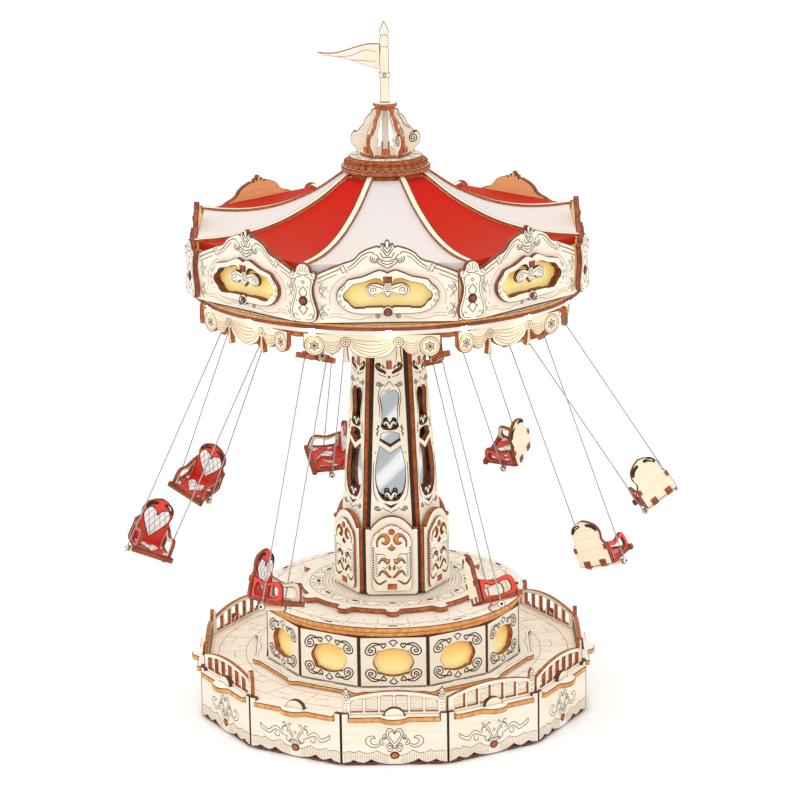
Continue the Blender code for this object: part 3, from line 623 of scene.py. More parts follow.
class Graph:
    """A material's nodes."""

    def __init__(self, name: str) -> None:
        """Start a material with only its shader and output."""
        self.material = bpy.data.materials.new(name)
        self.material.use_nodes = True
        self.tree = self.material.node_tree
        self.shader = self.tree.nodes["Principled BSDF"]

    def node(self, kind: str, settings: dict[str, object] | None = None, output: int | str = 0,
             **sockets: object) -> Value:
        """Add a node.

        Args:
            kind: its type, without the ShaderNode prefix.
            settings: its properties, and stops for a colour ramp's stops.
            output: which output to return.
            sockets: values or links of its inputs, by name or by i and a number.
        Returns:
            The output.
        """
        node = self.tree.nodes.new("ShaderNode" + kind)
        for key, value in (settings or {}).items():
            if key == "stops":
                ramp = node.color_ramp
                while len(ramp.elements) < len(value):
                    ramp.elements.new(1.0)
                for element, (place, colour) in zip(ramp.elements, value):
                    element.position, element.color = place, (*colour, 1.0)
            else:
                setattr(node, key, value)
        for key, value in sockets.items():
            socket = node.inputs[int(key[1:]) if key[1:].isdigit() else key.replace("_", " ")]
            self.link(value, socket)
        return Value(self, node.outputs[output])

    def link(self, value: object, socket: bpy.types.NodeSocket) -> None:
        """Set a socket.

        Args:
            value: a link, a number, a colour or a vector.
            socket: the socket.
        """
        if isinstance(value, Value):
            self.tree.links.new(value.socket, socket)
        elif isinstance(value, tuple) and len(value) == 3 and socket.type == "RGBA":
            socket.default_value = (*value, 1.0)
        else:
            socket.default_value = value

    def math(self, operation: str, a: "Value | float", b: "Value | float") -> Value:
        """A Math node on two values."""
        return self.node("Math", {"operation": operation}, i0=a, i1=b)

    def mix(self, factor: "Value | float", a: "Value | Colour", b: "Value | Colour") -> Value:
        """A colour between two others."""
        return self.node("Mix", {"data_type": "RGBA"}, 2, i0=factor, i6=a, i7=b)

    def ramp(self, value: Value, *stops: tuple[float, Colour]) -> Value:
        """A colour ramp over a value."""
        return self.node("ValToRGB", {"stops": stops}, Fac=value)

    def step(self, value: Value, low: float, high: float) -> Value:
        """0 below low, 1 above high and smooth between."""
        return self.node("MapRange", {"interpolation_type": "SMOOTHSTEP"}, i0=value, i1=low, i2=high)

    def grain(self, stretch: tuple[float, float, float] = (1.0, 1.0, 1.0)) -> Value:
        """The place in the wood, in millimetres, stretched."""
        spot = self.node("Attribute", {"attribute_name": "grain"}, "Vector")
        return self.node("VectorMath", {"operation": "MULTIPLY"}, i0=spot, i1=stretch)

    def axis(self, vector: Value, name: str) -> Value:
        """One component of a vector."""
        return self.node("SeparateXYZ", None, name, Vector=vector)

    def noise(self, vector: Value, scale: float, detail: float = 3.0, rough: float = 0.5) -> Value:
        """Noise from 0 to 1."""
        return self.node("TexNoise", None, 0, Vector=vector, Scale=scale, Detail=detail, Roughness=rough)

    def bump(self, height: Value, strength: float, distance: float) -> None:
        """Bump on the shader's normal."""
        normal = self.node("Bump", None, 0, Strength=strength, Distance=distance, Height=height)
        self.tree.links.new(normal.socket, self.shader.inputs["Normal"])

    def finish(self, **sockets: object) -> bpy.types.Material:
        """Set the shader's inputs.

        Args:
            sockets: values or links, by the inputs' names.
        Returns:
            The material.
        """
        for key, value in sockets.items():
            self.link(value, self.shader.inputs[key.replace("_", " ")])
        return self.material


@dataclass(frozen=True)
class Veneer:
    """A flat face of plywood, with streaked grain, pores and a faint smoke haze."""
    name: str
    pale: Colour
    warm: Colour
    rough: float = 0.6

    def material(self) -> bpy.types.Material:
        """Build the finish.

        Returns:
            Its material.
        """
        g = Graph(self.name)
        streak = g.noise(g.grain((0.035, 0.55, 0.4)), 1.0, 5.0, 0.6)
        fibre = g.noise(g.grain((0.25, 5.0, 1.0)), 1.0, 3.0, 0.65)
        cloud = g.noise(g.grain((0.03, 0.05, 0.1)), 1.0, 2.0)
        tone = g.step(0.55 * streak + 0.25 * fibre + 0.2 * cloud, 0.36, 0.66)
        wood = g.mix(tone, self.warm, self.pale)
        pore = g.step(g.noise(g.grain((0.35, 9.0, 1.0)), 1.0, 2.0), 0.69, 0.8)
        wood = g.mix(0.3 * pore, wood, tuple(0.62 * c for c in self.warm))
        g.bump(0.6 * fibre + 0.4 * streak, 0.12, 0.0002)
        return g.finish(Base_Color=wood, Roughness=self.rough - 0.12 + 0.2 * fibre)


@dataclass(frozen=True)
class BurntEdge:
    """A laser-cut edge: layers of ply, scorched brown, nearly black where it meets the faces."""
    name: str
    light: Colour
    deep: Colour
    char: Colour = (0.045, 0.012, 0.005)

    def material(self) -> bpy.types.Material:
        """Build the finish.

        Returns:
            Its material.
        """
        g = Graph(self.name)
        depth = g.math("ABSOLUTE", g.axis(g.grain(), "Z"), 0.0)
        patch = g.noise(g.grain((0.45, 0.45, 0.3)), 1.0, 3.0, 0.6)
        streak = g.noise(g.grain((2.2, 2.2, 0.25)), 1.0, 2.0)
        wood = g.mix(g.step(0.8 * patch + 0.2 * streak, 0.3, 0.68), self.deep, self.light)
        glue = g.step(depth, 0.26, 0.34) * (1.0 - g.step(depth, 0.38, 0.48))
        wood = g.mix(0.35 * glue, wood, self.char)
        wood = g.mix(g.step(depth, 0.62, 0.95), wood, self.char)
        g.bump(streak, 0.3, 0.0002)
        return g.finish(Base_Color=wood, Roughness=0.55 + 0.25 * patch)


@dataclass(frozen=True)
class Scorch:
    """Wood burnt by the engraving beam."""
    name: str
    dark: Colour
    light: Colour

    def material(self) -> bpy.types.Material:
        """Build the finish.

        Returns:
            Its material.
        """
        g = Graph(self.name)
        patch = g.noise(g.grain((0.5, 0.5, 0.5)), 1.0, 3.0)
        g.bump(patch, 0.3, 0.0001)
        return g.finish(Base_Color=g.mix(g.step(patch, 0.3, 0.72), self.dark, self.light),
                        Roughness=0.7 + 0.2 * patch)


@dataclass(frozen=True)
class Paint:
    """Lacquer on plywood, thin enough for the grain to show."""
    name: str
    bright: Colour
    dull: Colour

    def material(self) -> bpy.types.Material:
        """Build the finish.

        Returns:
            Its material.
        """
        g = Graph(self.name)
        fibre = g.noise(g.grain((0.3, 3.5, 1.0)), 1.0, 3.0, 0.6)
        cloud = g.noise(g.grain((0.12, 0.2, 0.2)), 1.0, 3.0)
        colour = g.mix(g.step(0.5 * fibre + 0.5 * cloud, 0.35, 0.65), self.dull, self.bright)
        g.bump(fibre, 0.2, 0.0002)
        return g.finish(Base_Color=colour, Roughness=0.38 + 0.18 * cloud, Coat_Weight=0.15)


@dataclass(frozen=True)
class PrintedSheet:
    """Thin printed board: a satin ink coat with painted lamp glow, deeper towards the crown and warmer lower
    down, towards the lamps.
    """
    name: str
    high: Colour
    low: Colour

    def material(self) -> bpy.types.Material:
        """Build the finish.

        Returns:
            Its material.
        """
        g = Graph(self.name)
        height = g.axis(g.node("NewGeometry", None, "Position"), "Z")
        cloud = g.noise(g.grain((0.05, 0.05, 0.05)), 1.0, 3.0)
        tooth = g.noise(g.grain((3.0, 3.0, 3.0)), 1.0, 2.0)
        # Painted lamp glow: lower on the roof the sheet turns to the warmer low colour.
        colour = g.mix(g.step(height + 0.006 * cloud, 0.183, 0.205), self.low, self.high)
        colour = g.mix(0.12 * tooth, colour, tuple(0.8 * c for c in self.low))
        g.bump(tooth, 0.08, 0.0001)
        return g.finish(Base_Color=colour, Roughness=0.6 + 0.12 * cloud, Specular_IOR_Level=0.08)


@dataclass(frozen=True)
class LitAcrylic:
    """Translucent coloured sheet lit from behind, brighter towards its foot."""
    name: str
    top: Colour
    foot: Colour
    low: float
    high: float
    glow: float

    def material(self) -> bpy.types.Material:
        """Build the finish.

        Returns:
            Its material.
        """
        g = Graph(self.name)
        position = g.node("NewGeometry", None, "Position")
        cloud = g.noise(position, 60.0, 2.0)
        height = g.step(g.axis(position, "Z") + 0.004 * (cloud - 0.5), self.low, self.high)
        colour = g.mix(height, self.foot, self.top)
        g.bump(g.noise(position, 900.0, 2.0), 0.05, 0.0002)
        return g.finish(Base_Color=colour, Roughness=0.16 + 0.1 * cloud, Emission_Color=colour,
                        Emission_Strength=self.glow)


@dataclass(frozen=True)
class Mirror:
    """Silvered sheet with painted reflection in lighter diagonal bands, and faint smears."""
    name: str = "mirror_painted_reflection"

    def material(self) -> bpy.types.Material:
        """Build the finish.

        Returns:
            Its material.
        """
        g = Graph(self.name)
        position = g.node("NewGeometry", None, "Position")
        turned = g.node("Mapping", None, 0, Vector=position, Scale=(1.0, 1.0, -1.0))
        # band: diagonal streaks of painted reflection, lighter and darker grey in the base colour.
        band = g.node("TexWave", {"bands_direction": "DIAGONAL"}, 1, Vector=turned, Scale=38.0,
                      Distortion=1.0)
        smear = g.noise(position, 140.0, 3.0)
        colour = g.ramp(0.85 * band + 0.15 * smear, (0.0, (0.36, 0.38, 0.40)), (0.55, (0.41, 0.43, 0.45)),
                        (0.68, (0.60, 0.62, 0.63)), (1.0, (0.74, 0.75, 0.76)))
        return g.finish(Base_Color=colour, Metallic=1.0, Roughness=0.06 + 0.12 * smear)


@dataclass(frozen=True)
class Lamp:
    """A glowing white lens or strip."""
    name: str
    colour: Colour
    glow: float

    def material(self) -> bpy.types.Material:
        """Build the finish.

        Returns:
            Its material.
        """
        g = Graph(self.name)
        cloud = g.noise(g.node("NewGeometry", None, "Position"), 220.0, 2.0)
        colour = g.mix(0.15 * cloud, self.colour, tuple(0.86 * c for c in self.colour))
        return g.finish(Base_Color=colour, Roughness=0.25 + 0.15 * cloud, Emission_Color=colour,
                        Emission_Strength=self.glow)


@dataclass(frozen=True)
class Twine:
    """Fine twisted thread, or brushed steel where metal is 1."""
    name: str
    light: Colour
    dark: Colour
    metal: float = 0.0

    def material(self) -> bpy.types.Material:
        """Build the finish.

        Returns:
            Its material.
        """
        g = Graph(self.name)
        twist = g.node("TexWave", {"bands_direction": "DIAGONAL"}, 1, Vector=g.grain(), Scale=1.6,
                       Distortion=0.6)
        g.bump(twist, 0.3, 0.0001)
        return g.finish(Base_Color=g.mix(twist, self.dark, self.light), Metallic=self.metal,
                        Roughness=0.4 + 0.2 * twist)


FACE = Veneer("birch_face", (0.88, 0.82, 0.71), (0.82, 0.72, 0.56)).material()
# A brighter copy of the birch face: painted light that lifts the level plates lying in the canopy's shade.
PAINTED_LIT_FACE = Veneer("birch_face_painted_lit", (0.97, 0.92, 0.82), (0.93, 0.84, 0.70)).material()
EDGE = BurntEdge("laser_edge", (0.60, 0.155, 0.024), (0.28, 0.050, 0.010)).material()
EDGE_LIGHT = BurntEdge("laser_edge_light", (0.84, 0.40, 0.11), (0.58, 0.20, 0.04)).material()
EDGE_DEEP = BurntEdge("laser_edge_deep", (0.40, 0.075, 0.014), (0.15, 0.024, 0.007)).material()
EDGE_DARK = BurntEdge("laser_edge_dark", (0.22, 0.040, 0.010), (0.09, 0.018, 0.007)).material()
BURN = Scorch("engraving", (0.022, 0.008, 0.004), (0.060, 0.022, 0.010)).material()
FAINT = Scorch("engraving_faint", (0.30, 0.17, 0.08), (0.50, 0.34, 0.19)).material()
SEPIA = Scorch("engraving_sepia", (0.36, 0.19, 0.08), (0.54, 0.31, 0.13)).material()
BROWN = Scorch("engraving_brown", (0.085, 0.036, 0.012), (0.20, 0.095, 0.035)).material()
HONEY_FACE = Veneer("birch_warm_face", (0.90, 0.79, 0.62), (0.83, 0.68, 0.47)).material()
# The friezes' backs: the birch face tinted orange-tan with painted amber light from the lit sheets.
PAINTED_AMBER_LIGHT_FACE = Veneer("birch_face_painted_amber_light", (0.92, 0.58, 0.26), (0.80, 0.44, 0.17)).material()
WOOD = (FACE, EDGE, BURN, FAINT)
FRIEZE_WOOD = (FACE, EDGE_DEEP, BURN, SEPIA, PAINTED_AMBER_LIGHT_FACE)
DARK_WOOD = (FACE, EDGE_DARK, BURN, FAINT)
# Finishes of the deck and the drum's step and lid: the face with painted light, and light burnt edges.
LIGHT_WOOD = (PAINTED_LIT_FACE, EDGE_LIGHT, BURN, FAINT)
AMBER_WOOD = (FACE, EDGE, BURN, EDGE_LIGHT)
AMBER_LOW = LitAcrylic("amber_acrylic_drum", (0.92, 0.52, 0.12), (0.95, 0.80, 0.34), 0.026, 0.036,
                       0.16).material()
AMBER_HIGH = LitAcrylic("amber_acrylic_frieze", (0.95, 0.62, 0.14), (0.95, 0.82, 0.34), 0.168, 0.184,
                        0.25).material()
SILVER = Mirror().material()
RED_SHEET = PrintedSheet("printed_red", (0.52, 0.010, 0.003), (0.45, 0.022, 0.005)).material()
WHITE_SHEET = PrintedSheet("printed_white", (0.66, 0.60, 0.60), (0.68, 0.61, 0.57)).material()
RED = Paint("red_lacquer", (0.80, 0.035, 0.012), (0.62, 0.03, 0.012)).material()
PANE = PrintedSheet("white_pane", (0.97, 0.96, 0.95), (0.94, 0.92, 0.90)).material()
CHAIR = (RED, EDGE_DEEP, BURN, PANE, HONEY_FACE)
STRIP = Lamp("lamp_strip", (0.80, 0.73, 0.66), 0.05).material()
LENS = Lamp("lamp_lens", (1.0, 0.90, 0.66), 60.0).material()
THREAD = Twine("grey_thread", (0.42, 0.41, 0.41), (0.24, 0.23, 0.23)).material()
STEEL = Twine("brushed_steel", (0.62, 0.62, 0.63), (0.45, 0.45, 0.46), 1.0).material()


@dataclass
class Base:
    """Twelve-sided drum of boards with a fenced deck."""
    bays: int = 12
    radius: float = 75.0
    deck_top: float = 19.1
    fence_inset: float = 2.2
    rail_foot: float = 6.0
    rail_rise: float = 2.8
    balusters: int = 5
    entrance: int = 11

    def half(self, radius: float | None = None) -> float:
        """Half the length of a side."""
        return (radius or self.radius) * math.sin(math.pi / self.bays)

    def face(self) -> float:
        """Distance from the axis to the boards' outer faces."""
        return apothem(self.radius, self.bays)

    def build(self) -> None:
        """Build every piece of the base."""
        self.plate()
        self.walls()
        self.deck()
        self.fences()

    def plate(self) -> None:
        """The bottom plate, seen as dark lozenges under the boards' skirts; their dark edge finish is painted
        shade.
        """
        stock = Stock()
        stock.place(Stock().cut([polygon(self.radius - PLY - GAP, self.bays)], 2.0), level(1.0))
        # Lips of the plate under the skirts' arches, all in the dark edge finish: painted shade under the
        # skirts.
        lips = Stock()
        for x in (-15.0, -8.6, 8.6, 15.0):
            lips.cut([whole([(0.0, 0.15), (1.9, 0.15), (2.6, 0.7), (1.9, 1.25), (0.0, 1.5)])], 0.9,
                     face=Cut.EDGE)
            lips.points[-1] = lips.points[-1] + (x, 0.0, 0.0)
        for bay in range(self.bays):
            stock.place(lips, board_at(TWELFTH * bay, self.face() - 0.75))
        stock.piece("base_bottom", "base", "plywood", DARK_WOOD, ["base_plate"])

    def wall_loop(self) -> Loop:
        """One board: scalloped foot, end tabs, and the round tab that holds the deck.

        Returns:
            Its outline.
        """
        half = self.half() - 0.25
        foot = [(0.0, 0.25), (3.0, 0.4), (5.6, 0.9), (7.6, 1.7), (8.6, 2.3), (9.6, 1.6), (11.4, 0.9),
                (13.2, 1.3), (15.0, 2.1), (16.2, 1.4), (half, 0.9)]
        ledge = self.deck_top - PLY - 0.05
        tab = [(half, 20.1), (half - 2.6, 20.1), (half - 2.6, ledge), (3.9, ledge)]
        dome = [(3.9, self.deck_top), *arc(0.0, self.deck_top, 3.7, 0.0, 90.0, 5, 3.0)]
        return whole(foot + tab + dome)

    def walls(self) -> None:
        """The boards, engraved in turn with a heart and with a flower spray."""
        wave = [(-19.2, 5.2), (-16.2, 5.6), (-14.6, 5.1), (-13.0, 5.8), (-11.2, 5.0), (-9.2, 4.8),
                (-7.8, 5.2), (-6.3, 5.7), (-4.8, 4.8), (-3.2, 4.1)]
        skirt = smooth([*wave, (0.0, 3.4), *((-x, y) for x, y in reversed(wave))], 3)
        flutes = []
        for i in range(57):
            x = -18.2 + 0.65 * i
            top = float(np.interp(x, *zip(*skirt)))
            low = (0.5 + 1.3 * math.exp(-((abs(x) - 8.6) / 1.4) ** 2)
                   + 1.1 * math.exp(-((abs(x) - 15.0) / 1.2) ** 2))
            if abs(x) > 2.3:
                flutes.append([(x, low + 0.35), (x, top - 0.25)])
        tenon = ring(0.0, 3.9, 1.35, 14, 1.1)
        horn = smooth([(-5.2, 7.9), (-6.8, 7.0), (-8.8, 7.3), (-10.1, 8.3), (-10.5, 9.4), (-10.3, 10.4),
                       (-9.2, 11.3), (-7.8, 11.4), (-7.0, 10.5), (-7.9, 10.6), (-8.7, 10.0), (-8.8, 9.3),
                       (-8.2, 8.4), (-7.1, 8.0), (-5.4, 8.5)], 3)
        curls = [arc(-4.1, 9.2, 1.35, 290.0, 40.0, 10), arc(-3.9, 9.3, 0.7, 60.0, 300.0, 8),
                 arc(-3.4, 11.1, 0.85, 320.0, 60.0, 8), arc(-3.2, 11.0, 0.35, 60.0, 300.0, 6)]
        shell = [smooth([(-0.3, 6.9), (-1.3, 8.5), (-2.6, 8.2), (-3.1, 7.4)], 3),
                 smooth([(-0.5, 6.8), (-1.6, 7.7), (-2.7, 7.1), (-3.0, 6.4)], 3),
                 smooth([(-0.2, 6.4), (-1.5, 6.7), (-2.5, 5.7), (-1.7, 5.3), (-0.6, 6.0)], 3),
                 [(-0.9, 7.2), (-1.9, 7.9), (-2.3, 7.5)]]
        hearts = both([horn, *curls, *shell]) + [closed(heart(0.0, 8.4, 4.5, 4.7)),
                                                 closed(heart(0.0, 6.5, 6.2, 7.7))]
        vine = [smooth([(-14.8, 11.1), (-13.3, 10.0), (-11.3, 9.0), (-9.8, 10.1), (-8.4, 10.9), (-6.9, 10.4),
                        (-5.4, 9.2)], 3),
                smooth([(-14.8, 11.1), (-14.6, 9.6), (-12.7, 8.3), (-10.7, 7.7), (-9.2, 9.1), (-7.8, 9.5),
                        (-5.7, 8.5), (-3.7, 7.6)], 3)]
        vine += [arc(-7.6, 7.9, 1.0, 100.0, 380.0, 10), arc(-4.2, 10.3, 1.1, -60.0, 230.0, 10),
                 arc(-2.6, 7.0, 1.2, 130.0, 390.0, 10)]
        vine += [smooth([(-5.6, 10.4), (-4.6, 11.6), (-3.0, 12.0), (-2.2, 12.9), (-1.7, 12.4), (-2.0, 12.0)],
                        3),
                 smooth([(-3.8, 11.9), (-4.5, 13.0), (-5.2, 12.6), (-4.9, 12.2)], 3),
                 [(-2.8, 11.8), (-1.6, 9.4), (-0.4, 7.0)], [(-3.4, 11.0), (-2.2, 9.0), (-1.2, 7.4)],
                 closed(petal(-0.5, 6.2, 1.3, 2.4, 100.0))]
        spray = both(vine) + [closed(diamond(0.0, 9.6, 0.6)), closed(diamond(0.0, 6.6, 0.45))]
        for name, drawing, first in (("base_boards_heart", hearts, 0), ("base_boards_spray", spray, 1)):
            board = Stock().cut([self.wall_loop()])
            board.burn(drawing, 0.2).burn([skirt], 0.18, slot=Cut.EXTRA).burn(flutes, 0.15, slot=Cut.EXTRA)
            board.cut([tenon], 0.5, HALF_PLY, 0.12, Cut.REAR).burn([closed(grown(tenon, 0.12))], 0.4)
            board.dots([(x, float(np.interp(x, *zip(*skirt)))) for x in (1.3 * i for i in range(-13, 14))
                        if abs(x) > 2.0], 0.17)
            stock = Stock()
            for bay in range(first, self.bays, 2):
                stock.place(board, board_at(TWELFTH * bay, self.face() - HALF_PLY))
            stock.piece(name, "base", "plywood", (*DARK_WOOD, EDGE), ["base_wall"])

    def deck(self) -> None:
        """The deck: a ledge and a round ear on each side, slots for the boards, and paving lines."""
        half, face = self.half(), self.face()
        pocket = face - PLY - 0.05
        ledge = face + 1.6
        side = [(-half + 2.9, pocket), (-half + 2.9, ledge), (-5.4, ledge), (-4.7, ledge + 0.6)]
        side += [(x, ledge + 0.5 + 2.3 * math.sin(math.acos(x / 4.5))) for x in (-4.2, -3.0, -1.5, 0.0, 1.5,
            3.0, 4.2)]
        side += [(4.7, ledge + 0.6), (5.4, ledge), (half - 2.9, ledge), (half - 2.9, pocket)]
        side = [(-(pocket - 0.4) * math.tan(math.pi / self.bays), pocket - 0.4), *side]
        slot = [(-3.95, face - PLY - 0.05), (3.95, face - PLY - 0.05), (3.95, face + 0.05),
                (-3.95, face + 0.05)]
        loops = [around(side, self.bays), *(around(slot, 1, TWELFTH * bay) for bay in range(self.bays))]
        paving = []
        for bay in range(24):
            a = 15.0 * bay
            paving.append([polar(r, a) for r in (54.6, 58.0, 62.0, 66.5)])
            paving.append([polar(r, a + 7.5 + (2.0 if bay % 2 else -2.0)) for r in (56.5, 60.5)])
            paving.append([polar(60.5 + (2.0 if bay % 2 else 0.0), a + t) for t in (0.0, 3.5, 7.5)])
        rings = [closed([polar(r, 5.0 * i) for i in range(72)]) for r in (66.6, 56.2)]
        lace = [arc(*polar(64.4, 7.5 + 15.0 * i), 1.7, 200.0 + 15.0 * i, 340.0 + 15.0 * i, 6)
                for i in range(24)]
        board = Stock().cut(loops).burn(paving + rings + lace, 0.16, slot=Cut.EXTRA)
        board.dots([polar(62.5, 15.0 * i + 3.0) for i in range(24)], 0.22)
        Stock().place(board, level(self.deck_top - HALF_PLY)).piece("deck_board", "base", "plywood",
                                                                    LIGHT_WOOD, ["deck_plate"])

    def rail(self, x: float) -> float:
        """Height of the arched rail's top."""
        return self.rail_foot + self.rail_rise * (1.0 - (x / self.fence_half()) ** 2)

    def fence_half(self) -> float:
        """Half the length of a fence panel."""
        return self.half(self.radius - self.fence_inset) - 0.35

    def fence_board(self, left_post: bool) -> Stock:
        """One fence panel: arched rail, balusters, and a beaded post at its end.

        Args:
            left_post: whether it also has a post at its left end.
        Returns:
            The panel, its foot at Y = 0.
        """
        half, rail = self.fence_half(), self.rail
        bead = [(-2.3, 6.2), (-2.3, 7.3), (-1.9, 7.8), (-2.35, 8.5), (-1.9, 9.2), (-1.1, 10.1)]
        post = [(half, 0.0), (half, 7.3), (half - 0.4, 7.8), (half, 8.5), (half - 0.4, 9.2),
                (half - 1.15, 10.2)]
        post += [(half + x, y) for x, y in reversed(bead)]
        crest = [(x, rail(x)) for x in (half - 2.5 - (2 * half - 5.0) * i / 14 for i in range(15))]
        end = [(-x, y) for x, y in reversed(post)] if left_post else [(-half, rail(half)), (-half, 0.0)]
        loops = [post + crest + end]
        inner = half - 2.2
        pitch = 2.0 * inner / (self.balusters + 1)
        for i in range(self.balusters + 1):
            x0, x1 = -inner + pitch * i + 0.55, -inner + pitch * (i + 1) - 0.55
            mid = 0.5 * (x0 + x1)
            loops.append([(x0, 1.0), (x1, 1.0), (x1, rail(x1) - 1.5), (mid, rail(mid) - 1.45),
                          (x0, rail(x0) - 1.5)])
        board = Stock().cut(loops, 1.5, bevel=0.12)
        for x in [half - 1.2] + ([-half + 1.2] if left_post else []):
            board.burn([hoop(0.75, 8, x, 9.1), [(x - 0.9, 7.8), (x + 0.9, 7.8)], hoop(0.6, 8, x, 6.9),
                        [(x - 0.9, 5.9), (x, 5.4), (x + 0.9, 5.9)]], 0.2, 0.75)
            board.dots([(x - 0.6, 4.4), (x + 0.6, 4.4), (x, 3.6), (x, 2.2)], 0.2, 0.75)
        bars = [-inner + pitch * i for i in range(1, self.balusters + 1)]
        board.dots([(x + s * 0.4, y) for x in bars for s in (-1, 1) for y in (rail(x) - 2.0, 1.5)], 0.16,
                   0.75)
        return board

    def fences(self) -> None:
        """Eleven fenced bays; the one left of the front stays open."""
        distance = apothem(self.radius - self.fence_inset, self.bays)
        first, later = self.fence_board(True), self.fence_board(False)
        stock = Stock()
        for bay in range(self.bays):
            if bay != self.entrance:
                stock.place(first if bay == 0 else later, board_at(TWELFTH * bay, distance,
                                                                   self.deck_top + 0.05))
        stock.piece("fence_panels", "base", "plywood", WOOD, ["fence_1", "fence_2", "fence_3"])


@dataclass
class Drum:
    """Raised twelve-sided drum with a lit window in each board, on a step and under a round lid."""
    bays: int = 12
    step_radius: float = 54.0
    radius: float = 49.2
    foot: float = 21.2
    lid_radius: float = 49.8
    rim_slots: int = 12

    def build(self) -> None:
        """Build every piece of the drum."""
        self.step()
        self.wall()
        self.lid()
        dress("drum_windows", AMBER_LOW)

    def step(self) -> None:
        """Step plate with a small lobe at each corner and the dark joints of the boards that it holds."""
        flat = apothem(self.step_radius, self.bays)
        loop = []
        for corner in range(self.bays):
            for turn, radius in ((-2.9, 0.0), (-2.0, 54.1), (-0.9, 54.8), (0.9, 54.8), (2.0, 54.1),
                                 (2.9, 0.0)):
                reach = radius or flat / math.cos(math.radians(180.0 / self.bays - abs(turn)))
                loop.append(polar(reach, TWELFTH * (corner + 0.5) + turn))
        board = Stock().cut([loop], 1.5)
        seam = apothem(self.radius, self.bays) + 0.25
        marks, faint = Stock(), Stock()
        marks.burn([[(-11.8, 0.0), (-2.4, 0.0)], [(2.4, 0.0), (11.8, 0.0)]], 0.5, 0.0)
        faint.burn([[(-12.4, 3.2), (-4.0, 3.2), (-3.0, 2.5), (3.0, 2.5), (4.0, 3.2), (12.4, 3.2)]], 0.18, 0.0,
                   Cut.EXTRA)
        stock = Stock().place(board, level(self.foot - 0.3 - 0.75))
        for bay in range(self.bays):
            turn = Matrix.Rotation(math.radians(TWELFTH * bay + 180.0), 4, "Z")
            spot = turn @ Matrix.Translation((0.0, seam, self.foot - 0.3))
            stock.place(marks, spot).place(faint, spot)
        stock.piece("drum_step_board", "base", "plywood", LIGHT_WOOD, ["drum_step"])

    def wall(self) -> None:
        """Twelve boards with a shouldered oval window between engraved scrolls, hearts and fans."""
        middle = 30.65
        window = smooth([(0.0, 25.2), (2.4, 25.5), (4.6, 26.2), (5.3, 26.1), (5.9, 26.7), (6.0, 27.6),
                         (6.9, 29.1), (7.4, 30.7), (6.9, 32.3), (6.0, 33.7), (5.9, 34.5), (5.3, 35.0),
                         (4.6, 34.8), (2.4, 35.5), (0.0, 35.8)], 2)
        corner = volute(-8.3, 35.3, 2.05) + [closed(heart(-3.7, 36.0, 1.9, 1.9))]
        drawing = both(corner + upset(corner, middle)) + fan(0.0, 36.7, 3.0) + upset(fan(0.0, 36.7, 3.0),
            middle)
        board = Stock().cut([box(0.0, 30.75, 24.5, 19.1), whole(window)])
        board.burn(drawing, 0.36).dots([(s * 8.4, y) for s in (-1, 1) for y in (35.4, 25.9)], 0.3)
        # A near-black block in the open corner between two boards: painted shade inside the seam.
        joint = Stock().cut([box(47.65, middle + 0.1, 2.1, 19.0)], 1.7, face=Cut.BURN, edge=Cut.BURN)
        stock = Stock()
        distance = apothem(self.radius, self.bays) - HALF_PLY
        for bay in range(self.bays):
            stock.place(board, board_at(TWELFTH * bay, distance))
            stock.place(joint, fin_at(TWELFTH * (bay + 0.5)))
        stock.piece("drum_boards", "base", "plywood", WOOD, ["drum_wall"])

    def lid(self) -> None:
        """Round lid: a lower disc in the shade, the upper one with slots drawn as near-black inlays of
        painted shade, a flowered band and rays.
        """
        lower = Stock().cut([disc(48.2, 96)], 1.9, bevel=0.1)
        upper = Stock().cut([disc(self.lid_radius - 0.02, 120)])
        faint, dark = [hoop(45.2, 96)], []
        for i in range(24):
            a = 15.0 * i + 7.5
            faint.append([polar(39.5, a), polar(42.0, a), polar(45.0, a)])
            faint.append([polar(45.2, a - 5.5), polar(46.4, a - 4.2), polar(45.9, a - 3.0),
                          polar(47.2, a - 1.6)])
            faint.append([polar(45.2, a + 5.5), polar(46.4, a + 4.2), polar(45.9, a + 3.0),
                          polar(47.2, a + 1.6)])
            dark.append(polar(47.6, a))
        upper.burn(faint, 0.2, slot=Cut.EXTRA).dots(dark, 0.28).dots([polar(41.2, 15.0 * i)
                                                                      for i in range(24)], 0.22)
        upper.dots([polar(46.4, 30.0 * i + t) for i in range(12) for t in (-4.6, -3.4, 3.4, 4.6)], 0.24)
        # Near-black inlays stand for the open slots: painted shade inside them.
        slot = Stock().inlay([box(0.0, -47.3, 3.3, 1.0)], slot=Cut.BURN)
        stock = Stock().place(lower, level(41.6)).place(upper, level(43.6))
        for i in range(self.rim_slots):
            stock.place(slot, level(43.6, 360.0 * i / self.rim_slots))
        stock.piece("drum_lid", "base", "plywood", LIGHT_WOOD, ["drum_top"])


